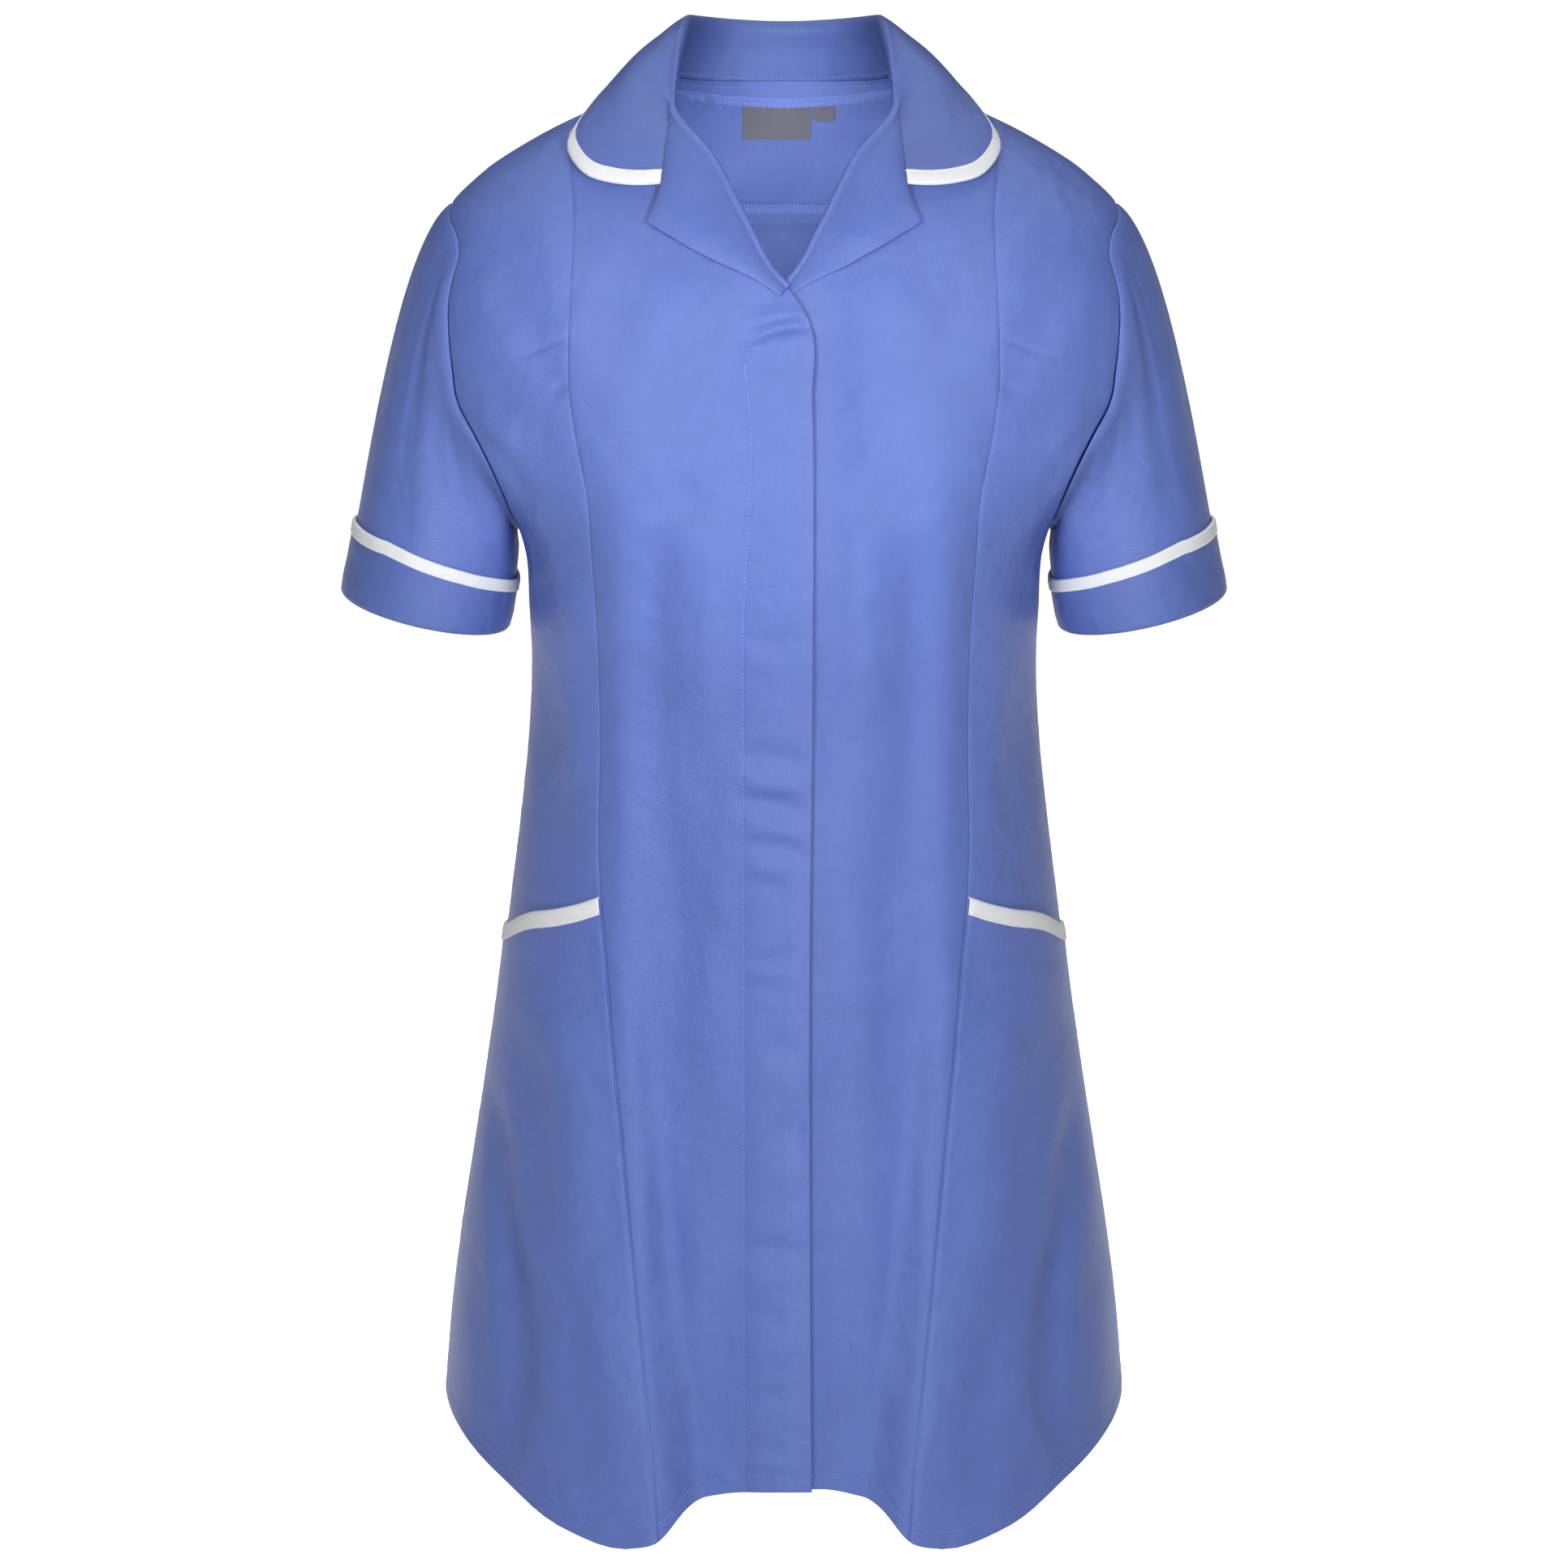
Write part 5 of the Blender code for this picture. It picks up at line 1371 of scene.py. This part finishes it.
def joined_collar():
    """Both halves of the collar, run into the reveres at the gorge seams and eased along their length."""
    faces = collar_faces()
    gorge = [face[0] for face in revere_faces(False, REVERE_ROWS[:2])]
    next_row = revere_faces(False, REVERE_ROWS[:2])[0][1]
    apart = unit(np.cross(np.gradient(gorge[0], axis=0), gorge[0] - gorge[1]))
    apart *= np.sign(np.sum(apart * (gorge[0] - next_row))) * SEAM_GAP
    share = np.linspace(0, 1, len(faces[0]))
    weight = smoothstep((share - 1 + GORGE_BLEND) / GORGE_BLEND)[:, None, None]
    middle = len(share) - 1
    eased = slice(middle - COLLAR_BACK_STATIONS, middle + COLLAR_BACK_STATIONS + 1)
    before, after = slice(eased.start - 1, eased.stop - 1), slice(eased.start + 1, eased.stop + 1)
    joined = []
    for face, row in zip(faces, gorge):
        half = face + (row + apart - face[-1]) * weight
        grid = np.concatenate((half[::-1] * RIGHT, half[1:]))
        for _ in range(COLLAR_EASINGS):
            grid[1:-1, 2:-1] = (grid[:-2, 2:-1] + 2 * grid[1:-1, 2:-1] + grid[2:, 2:-1]) / 4
            grid[eased, :2] = (grid[before, :2] + grid[after, :2] + 2 * grid[eased, :2]) / 4
        joined.append(grid)
    return joined


def make_collar():
    """One folded sheet, fall, fold and stand, with the binding over its outer edge."""
    outer, inner = joined_collar()
    inward = unit(outer[:, 1] - outer[:, 0])
    out = unit(outer[:, 0] - inner[:, 0])
    band = bound(outer[:, 0], inward, out)
    dress("collar_binding", *band, "white_trim", LEFT)
    keep_line("white", *band, LEFT, column=BINDING_STITCH_COLUMN)

    outer, inner = fine_collar_columns(outer), fine_collar_columns(inner)
    wall = np.linalg.norm(outer - inner, axis=-1)
    outer, inner = sewn(outer, unit(outer - inner), wall, COLLAR_SEAMS, seed=RIPPLE_STARTS["collar"])
    dress("collar", outer, inner, "blue_cotton", LEFT)
    keep_line("blue", outer, inner, LEFT, column=STAND_STITCH_COLUMN)


def make_labels():
    """Plain woven label and size tab on the inside of the yoke."""
    for name, left, right, top, bottom in LABELS:
        distance = blend(left, right, spaced(LABEL_COLUMNS))
        levels = blend(top, bottom, spaced(LABEL_ROWS))[:, None]
        angle = 180 - np.degrees(np.arcsin(distance / section_at(levels)[..., 0]))
        curl = LABEL_CURL * smoothstep((bottom + LABEL_CURL_HEIGHT - levels) / LABEL_CURL_HEIGHT) ** 2
        wave = LABEL_WAVE * np.sin(distance / LABEL_WAVE_ACROSS + levels / LABEL_WAVE_DOWN)
        offset = LABEL_OFFSET - curl - wave
        outer, inner = (body_point(angle, levels, offset - wall) for wall in (0, LABEL_WALL))
        dress(name, outer, inner, "grey_label", LEFT)


def level_below(angle, level, distance):
    """Level that lies this far down the body's face from a point on it."""
    steps = np.linspace(0, distance * SLOPE_REACH, SLOPE_STEPS)
    return level - np.interp(distance, length_along(body_face(angle, level - steps)), steps)


def strip_faces(angle, levels, strip):
    """Outer and inner faces of a seam allowance that lies inside the back, swaying a little."""
    _, offset, wall = strip
    share = np.linspace(0, 1, levels.shape[1])
    along = run_of(body_face(angle, levels), 0)
    sway = STRIP_SWAY * share * ripple(along, STRIP_SWAY_PITCH, RIPPLE_STARTS["strip"])
    outer_offset = offset - sway - STRIP_LEAN * share
    return body_point(angle, levels, outer_offset), body_point(angle, levels, outer_offset - wall)


def add_strip(name, outer, inner, edge):
    """Makes a strip's cloth and remembers the overlocking along one of its columns."""
    piece = shell(f"{name}_cloth", outer, inner, materials["blue_cotton"])
    join_in(piece)
    path, under = (resample(grid, [edge], axis=1)[:, 0] for grid in (inner, outer))
    lines["overlock"].append((path, unit(path - under), False))


def make_neck_strip():
    """Seam allowance inside the neck, with an upper lip that leans against the collar's stand."""
    angle, level = neck_edge(NECK_STATIONS)
    back = angle >= 90
    angle = np.concatenate((angle[back][::-1], 360 - angle[back][1:]))
    level = np.concatenate((level[back][::-1], level[back][1:]))
    depth = np.linspace(NECK_STRIP_STARTS, NECK_STRIP[0], NECK_STRIP_COLUMNS)
    levels = np.array([[level_below(*spot, down) for down in depth] for spot in zip(angle, level)])
    outer, inner = strip_faces(np.broadcast_to(angle[:, None], levels.shape), levels, NECK_STRIP)

    height, lean = NECK_STRIP_LIP
    lip = unit(outer[:, 0] - outer[:, 1]) * height + unit(outer[:, 0] - inner[:, 0]) * lean
    outer, inner = (np.concatenate(((grid[:, 0] + lip)[:, None], grid), axis=1) for grid in (outer, inner))
    keep_points("blue", inner[:, 1], outer[:, 1], LEFT)
    lines["fringe"] = inner[::-1, -1], unit(inner - outer)[::-1, -1]
    add_strip("neck_strip", outer, inner, NECK_OVERLOCK_COLUMN)


def make_yoke_strip():
    """Seam allowance inside the back, above the yoke seam."""
    angle = np.linspace(*YOKE_STRIP_ANGLES, YOKE_STATIONS)
    levels = YOKE_SEAM_LEVEL + YOKE_STRIP_CLEAR + np.linspace(0, YOKE_STRIP[0], YOKE_STRIP_COLUMNS)
    angle, levels = np.broadcast_arrays(angle[:, None], levels)
    outer, inner = strip_faces(angle, levels, YOKE_STRIP)
    add_strip("yoke_strip", outer, inner, outer.shape[1] - 1)


def join_in(piece):
    """A finished piece belongs to the tunic's one body."""
    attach(piece, BODY)


def dress(name, outer, inner, slot, side, closed=False):
    """Makes the cloth that stands for the solid of the same name."""
    # Collar and cuffs take the twill darkened as painted shade
    finish = "blue_shade_painted" if name in SHADE_PAINTED else slot
    piece = shell(f"{name}_cloth", outer * side, inner * side, materials[finish], closed)
    join_in(piece)
    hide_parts(name)


def keep_points(thread, outer, inner, side, closed=False):
    """Remembers a line of stitches, with its way out of the cloth."""
    out = unit(outer - inner)
    lines[thread].append(((outer + out * STITCH_LIFT) * side, out * side, closed))


def keep_line(thread, outer, inner, side, row=None, column=None, below=None, closed=False):
    """Remembers stitches along a row or a column of a sheet."""
    top, under = (outer[row], inner[row]) if column is None else (outer[:, column], inner[:, column])
    if below is not None:
        under = under[top[:, 2] <= below]
        top = top[top[:, 2] <= below]
    keep_points(thread, top, under, side, closed)


def path_mesh(name, runs):
    """Open or closed lines of points, each with its way out of the cloth kept as 'facing'."""
    points, facing, edges = [], [], []
    for line, out, closed in runs:
        start = len(points)
        points.extend((line * MM).tolist())
        facing.extend(out.tolist())
        edges.extend((start + k, start + k + 1) for k in range(len(line) - 1))
        if closed:
            edges.append((start + len(line) - 1, start))
    mesh = bpy.data.meshes.new(name)
    mesh.from_pydata(points, edges, [])
    mesh.attributes.new("facing", "FLOAT_VECTOR", "POINT").data.foreach_set("vector", np.ravel(facing))
    return mesh


def new_tree(name, sizes):
    """A Geometry Nodes tree with named sizes and a material to be set."""
    tree = bpy.data.node_groups.new(name, "GeometryNodeTree")
    tree.is_modifier = True
    tree.interface.new_socket("Path", in_out="INPUT", socket_type="NodeSocketGeometry")
    for label, value in sizes.items():
        tree.interface.new_socket(label, in_out="INPUT", socket_type="NodeSocketFloat").default_value = value
    tree.interface.new_socket("Material", in_out="INPUT", socket_type="NodeSocketMaterial")
    tree.interface.new_socket("Geometry", in_out="OUTPUT", socket_type="NodeSocketGeometry")
    return tree, tree.nodes.new("NodeGroupInput"), tree.nodes.new("NodeGroupOutput")


def fill(tree, node, inputs):
    """Links or sets a node's inputs, by name or number."""
    for key, value in inputs.items():
        if isinstance(value, bpy.types.NodeSocket):
            tree.links.new(value, node.inputs[key])
        else:
            node.inputs[key].default_value = value
    return node


def place(tree, kind, inputs=None, **settings):
    """Adds a node with its settings and inputs."""
    node = tree.nodes.new(kind)
    for label, value in settings.items():
        setattr(node, label, value)
    return fill(tree, node, inputs or {})


def facing_turn(tree):
    """A rotation with X along the path and Z out of the cloth."""
    tangent = place(tree, "GeometryNodeInputTangent")
    facing = place(tree, "GeometryNodeInputNamedAttribute", {"Name": "facing"}, data_type="FLOAT_VECTOR")
    along = place(tree, "FunctionNodeAlignRotationToVector", {"Vector": tangent.outputs[0]}, axis="X")
    return place(
        tree, "FunctionNodeAlignRotationToVector",
        {"Rotation": along.outputs[0], "Vector": facing.outputs["Attribute"]}, axis="Z", pivot_axis="X",
    ).outputs[0]


def finish_tree(tree, given, result, geometry):
    """Shades the thread smooth and gives it its material."""
    smooth = place(tree, "GeometryNodeSetShadeSmooth", {"Geometry": geometry})
    coated = place(
        tree, "GeometryNodeSetMaterial",
        {"Geometry": smooth.outputs[0], "Material": given.outputs["Material"]},
    )
    tree.links.new(coated.outputs[0], result.inputs[0])


def points_along(tree, given):
    """Evenly pitched points on the path."""
    curve = place(tree, "GeometryNodeMeshToCurve", {"Mesh": given.outputs["Path"]})
    return place(
        tree, "GeometryNodeResampleCurve",
        {"Curve": curve.outputs[0], "Length": given.outputs["Pitch"]}, mode="LENGTH",
    ).outputs[0]


def cord_on(tree, given, curve):
    """Round thread along a curve."""
    sizes = {"Resolution": THREAD_SIDES, "Radius": given.outputs["Thread"]}
    ring = place(tree, "GeometryNodeCurvePrimitiveCircle", sizes)
    cord = place(tree, "GeometryNodeCurveToMesh", {"Curve": curve, "Profile Curve": ring.outputs[0]})
    return cord.outputs[0]


def stitch_tree():
    """Single stitches along a path, turned a little at random."""
    tree, given, result = new_tree("stitches", {"Pitch": 0.0027, "Length": 0.0017, "Thread": 0.00062})
    bead = place(tree, "GeometryNodeMeshUVSphere", {"Segments": 6, "Rings": 4, "Radius": 0.5})
    range_and_seed = {2: -STITCH_LEAN, 3: STITCH_LEAN, "Seed": 7}
    jitter = place(tree, "FunctionNodeRandomValue", range_and_seed, data_type="FLOAT")
    lean = place(tree, "ShaderNodeCombineXYZ", {"Z": jitter.outputs[1]})
    turn = place(tree, "FunctionNodeEulerToRotation", {0: lean.outputs[0]})
    turned = place(
        tree, "FunctionNodeRotateRotation",
        {"Rotation": facing_turn(tree), "Rotate By": turn.outputs[0]}, rotation_space="LOCAL",
    )
    size = place(
        tree, "ShaderNodeCombineXYZ",
        {"X": given.outputs["Length"], "Y": given.outputs["Thread"], "Z": given.outputs["Thread"]},
    )
    beads = place(
        tree, "GeometryNodeInstanceOnPoints",
        {
            "Points": points_along(tree, given), "Instance": bead.outputs["Mesh"],
            "Rotation": turned.outputs[0], "Scale": size.outputs[0],
        },
    )
    real = place(tree, "GeometryNodeRealizeInstances", {"Geometry": beads.outputs[0]})
    finish_tree(tree, given, result, real.outputs[0])
    return tree


def overlock_tree():
    """Slanting loops over a raw edge, a needle thread beside them and a thread on the edge."""
    tree, given, result = new_tree("overlock", {"Pitch": 0.0019, "Width": 0.0055, "Thread": 0.00021})
    across = given.outputs["Width"]
    step = given.outputs["Pitch"]
    strands = place(tree, "GeometryNodeJoinGeometry")
    for x0, y0, x1, y1 in OVERLOCK_STRANDS:
        ends = []
        for x, y in ((x0, y0), (x1, y1)):
            x, y = arithmetic(tree, "MULTIPLY", step, x), arithmetic(tree, "MULTIPLY", across, y)
            ends.append(place(tree, "ShaderNodeCombineXYZ", {"X": x, "Y": y}).outputs[0])
        strand = place(tree, "GeometryNodeCurvePrimitiveLine", {"Start": ends[0], "End": ends[1]})
        tree.links.new(strand.outputs[0], strands.inputs[0])
    cord = cord_on(tree, given, strands.outputs[0])
    loops = place(
        tree, "GeometryNodeInstanceOnPoints",
        {"Points": points_along(tree, given), "Instance": cord, "Rotation": facing_turn(tree)},
    )
    real = place(tree, "GeometryNodeRealizeInstances", {"Geometry": loops.outputs[0]})
    finish_tree(tree, given, result, real.outputs[0])
    return tree


def thread_tree():
    """A plain round thread along a path."""
    tree, given, result = new_tree("thread", {"Pitch": 0.0008, "Thread": 0.00018})
    finish_tree(tree, given, result, cord_on(tree, given, points_along(tree, given)))
    return tree


def sew(name, runs, tree, slot):
    """Grows thread along its paths and keeps it as a plain mesh."""
    piece = linked(name, path_mesh(name, runs))
    modifier = piece.modifiers.new("sewing", "NODES")
    modifier.node_group = tree
    sockets = {item.name: item.identifier for item in tree.interface.items_tree if item.in_out == "INPUT"}
    modifier[sockets["Material"]] = thread_materials[slot]
    graph = bpy.context.evaluated_depsgraph_get()
    plain = bpy.data.meshes.new_from_object(piece.evaluated_get(graph))
    piece.modifiers.remove(modifier)
    piece.data = plain
    join_in(piece)


def bartack():
    """A close zigzag of thread beside the placket stitching."""
    level = np.arange(*BARTACK_LEVELS, -BARTACK_PITCH)
    swing = np.where(np.arange(len(level)) % 2, 1, -1) * BARTACK_HALF_WIDTH
    distance = placket_at(level) + swing
    angle = angle_at(distance, level)
    height = body_folds(distance, level, FRONT_FOLDS) + BARTACK_HEIGHT
    return body_point(angle, level, height) * RIGHT, body_normal(angle, level) * RIGHT, False


def loose_threads():
    """Thread ends that hang from the overlocked edge at the back neck."""
    line, out = lines["fringe"]
    share = np.linspace(0, 1, THREAD_END_POINTS)[:, None]
    runs = []
    for distance, length, sway in LOOSE_THREADS:
        start, away = (
            np.array([np.interp(distance, line[:, 0], grid[:, axis]) for axis in range(3)])
            for grid in (line, out)
        )
        run = start + np.concatenate((share**2 * sway, 0 * share, -share * length), axis=1)
        run = run + away * THREAD_END_BOW * np.sin(share * THREAD_END_TURN)
        runs.append((run, np.tile(away, (len(run), 1)), False))
    return runs


def sew_all():
    """All threads that show, one mesh for each kind."""
    stitches, overlock, thread = stitch_tree(), overlock_tree(), thread_tree()
    sew("stitching_blue", lines["blue"], stitches, "blue_cotton")
    sew("stitching_white", lines["white"], stitches, "white_trim")
    sew("overlocking", lines["overlock"], overlock, "blue_cotton")
    sew("bartack", [bartack()], thread, "blue_cotton")
    sew("thread_ends", loose_threads(), thread, "blue_cotton")


def arithmetic(tree, operation, *values):
    """One step of arithmetic in a shader."""
    return place(tree, "ShaderNodeMath", dict(enumerate(values)), operation=operation).outputs[0]


def noise(tree, spot, scale, detail=2.0, roughness=0.5, distortion=0.0):
    """Uneven values from 0 to 1 over a surface."""
    inputs = {"Scale": scale, "Detail": detail, "Roughness": roughness, "Distortion": distortion}
    return place(tree, "ShaderNodeTexNoise", {"Vector": spot, **inputs}).outputs[0]


def mixed(tree, share, first, second):
    """A colour between two others."""
    inputs = {"Factor": share, "A": (*first, 1), "B": (*second, 1)}
    return place(tree, "ShaderNodeMix", inputs, data_type="RGBA").outputs["Result"]


def relief(tree, height, distance, inputs=None):
    """Surface direction over a pattern of heights."""
    inputs = {"Height": height, "Distance": distance, **(inputs or {})}
    return place(tree, "ShaderNodeBump", inputs).outputs[0]


def new_effect(name, inputs, outputs):
    """A shader node group that reads a place and named numbers, and puts out numbers."""
    tree = bpy.data.node_groups.new(name, "ShaderNodeTree")
    tree.interface.new_socket("Vector", in_out="INPUT", socket_type="NodeSocketVector")
    for label, value in inputs.items():
        tree.interface.new_socket(label, in_out="INPUT", socket_type="NodeSocketFloat").default_value = value
    for label in outputs:
        tree.interface.new_socket(label, in_out="OUTPUT", socket_type="NodeSocketFloat")
    return tree, tree.nodes.new("NodeGroupInput"), tree.nodes.new("NodeGroupOutput")


def weave_effect():
    """Slanting ribs of yarn, from lengths along the cloth. Puts out their height and a tint: painted shade
    that darkens the rib grooves, with random slubs and streaks.
    """
    tree, given, result = new_effect(
        "weave", {"Ribs per Metre": 1100, "Slant": 0.85, "Unevenness": 0.8}, ("Height", "Tint")
    )
    step = partial(arithmetic, tree)
    flat, density, slant, unevenness = given.outputs[:4]
    across, along, _ = place(tree, "ShaderNodeSeparateXYZ", {0: flat}).outputs
    stretched = place(tree, "ShaderNodeVectorMath", {0: flat, 1: STREAKS_PER_METRE}, operation="MULTIPLY")
    slub = noise(tree, flat, SLUBS_PER_METRE, roughness=YARN_NOISE_ROUGHNESS)
    streak = noise(tree, stretched.outputs[0], 1.0, roughness=YARN_NOISE_ROUGHNESS)

    slanted = step("ADD", across, step("MULTIPLY", along, slant))
    drift = step("MULTIPLY", step("SUBTRACT", slub, 0.5), unevenness)
    rib_place = step("ADD", step("MULTIPLY", slanted, density), drift)
    yarn_place = step("MULTIPLY", along, step("MULTIPLY", density, YARNS_PER_RIB))
    rib, yarn = (step("SINE", step("MULTIPLY", spot, 2 * math.pi)) for spot in (rib_place, yarn_place))
    height = step("MULTIPLY_ADD", yarn, YARN_HEIGHT, step("MULTIPLY_ADD", rib, RIB_HEIGHT, 0.5))
    # Painted shade: the colour follows the rib height, darker in the grooves, with random slubs and streaks
    # on top
    groove_shade_and_slubs = step("MULTIPLY_ADD", height, 1 - SLUB_TINT, step("MULTIPLY", slub, SLUB_TINT))
    streaks = step("MULTIPLY", step("SUBTRACT", streak, 0.5), STREAK_TINT)
    fill(tree, result, {"Height": height, "Tint": step("ADD", groove_shade_and_slubs, streaks)})
    return tree


def crease_shade_effect():
    """Soft uneven tone and small creases over a whole piece, from its place on the garment. The tone follows
    the creases' height, lighter on their tops and darker in their hollows: partly random tone, partly
    painted shade and sheen.
    """
    tree, given, result = new_effect("tone_and_crease_shade", {"Amount": 0.08}, ("Tone", "Crease"))
    step = partial(arithmetic, tree)
    spot, amount = given.outputs[:2]
    broad, fine = (step("SUBTRACT", noise(tree, spot, *kind), 0.5) for kind in (BROAD_NOISE, FINE_NOISE))
    # Painted shade and sheen: the tone rises and falls with the same noise as the crease relief
    tone = step("MULTIPLY_ADD", step("MULTIPLY_ADD", fine, FINE_TONE, broad), amount, 1.0)
    fill(tree, result, {"Tone": tone, "Crease": step("MULTIPLY_ADD", fine, FINE_CREASE, broad)})
    return tree


def new_material(name):
    """A new finish with its nodes, its shader and the place on the garment."""
    material = bpy.data.materials.new(name)
    material.use_nodes = True
    tree = material.node_tree
    spot = place(tree, "ShaderNodeTexCoord").outputs["Object"]
    return material, tree, tree.nodes["Principled BSDF"], spot


def cloth_material(name, light, shade, ribs, slant, depth, crease, amount, roughness, sheen):
    """Woven cloth: yarn colour with painted shade in the weave's grooves, weave relief, soft creases and a
    little sheen.
    """
    material, tree, shader, spot = new_material(name)
    flat = place(tree, "ShaderNodeUVMap", uv_map="UVMap").outputs[0]
    sizes = {"Vector": flat, "Ribs per Metre": ribs, "Slant": slant}
    yarns = place(tree, "ShaderNodeGroup", sizes, node_tree=weave).outputs
    # Uneven tone with painted crease shade and sheen
    tone_and_shade = place(tree, "ShaderNodeGroup", {"Vector": spot, "Amount": amount}, node_tree=tone_and_crease_shade).outputs
    # Painted shade: the yarn colour goes from its shade colour to its light one with the rib height
    colour = mixed(tree, yarns["Tint"], shade, light)
    toned = place(tree, "ShaderNodeVectorMath", {0: colour, "Scale": tone_and_shade["Tone"]}, operation="SCALE")
    creased = relief(tree, tone_and_shade["Crease"], crease)
    fill(tree, shader, {
        "Base Color": toned.outputs[0],
        "Normal": relief(tree, yarns["Height"], depth, {"Strength": WEAVE_STRENGTH, "Normal": creased}),
        "Roughness": roughness, "Specular IOR Level": 0.5, "Specular Tint": SPECULAR_TINT,
        "Sheen Weight": sheen, "Sheen Roughness": 0.45, "Sheen Tint": (*light, 1),
    })
    return material


def thread_material(name, light, shade):
    """Sewing thread: plied, a little brighter than the cloth, its colour darker where the ply's relief is
    low, as painted shade.
    """
    material, tree, shader, spot = new_material(name)
    # Painted shade: this noise both darkens the thread's colour and sinks its relief
    ply = noise(tree, spot, PLIES_PER_METRE)
    fill(tree, shader, {
        "Base Color": mixed(tree, ply, shade, light), "Normal": relief(tree, ply, PLY_DEPTH),
        "Roughness": 0.6, "Sheen Weight": 0.15,
    })
    return material


def floor_material():
    """Plain paint with a faint unevenness."""
    material, tree, shader, spot = new_material("studio_paint")
    duller = [part * FLOOR_DULLER for part in FLOOR_COLOUR]
    paint = mixed(tree, noise(tree, spot, FLOOR_PATCHES_PER_METRE), FLOOR_COLOUR, duller)
    fill(tree, shader, {"Base Color": paint, "Roughness": 0.9})
    return material


def aimed(name, data, spot, target):
    """Puts a light or camera at a spot, turned to its target."""
    holder = linked(name, data)
    holder.location = spot
    holder.rotation_euler = (Vector(target) - holder.location).to_track_quat("-Z", "Y").to_euler()
    return holder


def make_stage():
    """Pale floor, soft studio light, near-white surroundings and the photo's camera."""
    half = FLOOR_SIZE / 2
    corners = [(x, y, FLOOR_LEVEL) for x, y in ((-half, -half), (half, -half), (half, half), (-half, half))]
    mesh = bpy.data.meshes.new("studio_floor")
    mesh.from_pydata(corners, [], [(0, 1, 2, 3)])
    mesh.materials.append(floor_material())
    floor = linked("studio_floor", mesh)

    for name, spot, size, power, aim, spread in LIGHTS:
        light = bpy.data.lights.new(name, "AREA")
        light.size = size
        light.energy = power
        light.spread = math.radians(spread)
        aimed(name, light, spot, aim)
    world = bpy.data.worlds.new("studio")
    world.use_nodes = True
    world.node_tree.nodes["Background"].inputs["Color"].default_value = (1, 1, 1, 1)
    world.node_tree.nodes["Background"].inputs["Strength"].default_value = WORLD_STRENGTH
    bpy.context.scene.world = world

    target = Vector(CAMERA_TARGET)
    elevation = math.radians(CAMERA_ELEVATION)
    lens = bpy.data.cameras.new("photo_camera")
    lens.lens = CAMERA_LENS
    lens.sensor_width = 36
    spot = target + CAMERA_DISTANCE * Vector((0, -math.cos(elevation), math.sin(elevation)))
    bpy.context.scene.camera = aimed("photo_camera", lens, spot, target)
    bpy.context.scene.view_settings.view_transform = "Standard"


weave = weave_effect()
tone_and_crease_shade = crease_shade_effect()
materials = {slot: cloth_material(*finish) for slot, finish in CLOTH_FINISHES.items()}
thread_materials = {
    "blue_cotton": thread_material("blue_thread", THREAD_BLUE, THREAD_BLUE_GROOVE_SHADE),
    "white_trim": thread_material("white_thread", WHITE, WHITE_SHADE),
}
lines = {"blue": [], "white": [], "overlock": []}

make_fronts()
make_fly()
make_side_fronts()
make_back()
make_sleeves()
make_pockets()
make_reveres()
make_collar()
make_labels()
make_neck_strip()
make_yoke_strip()
sew_all()
make_stage()
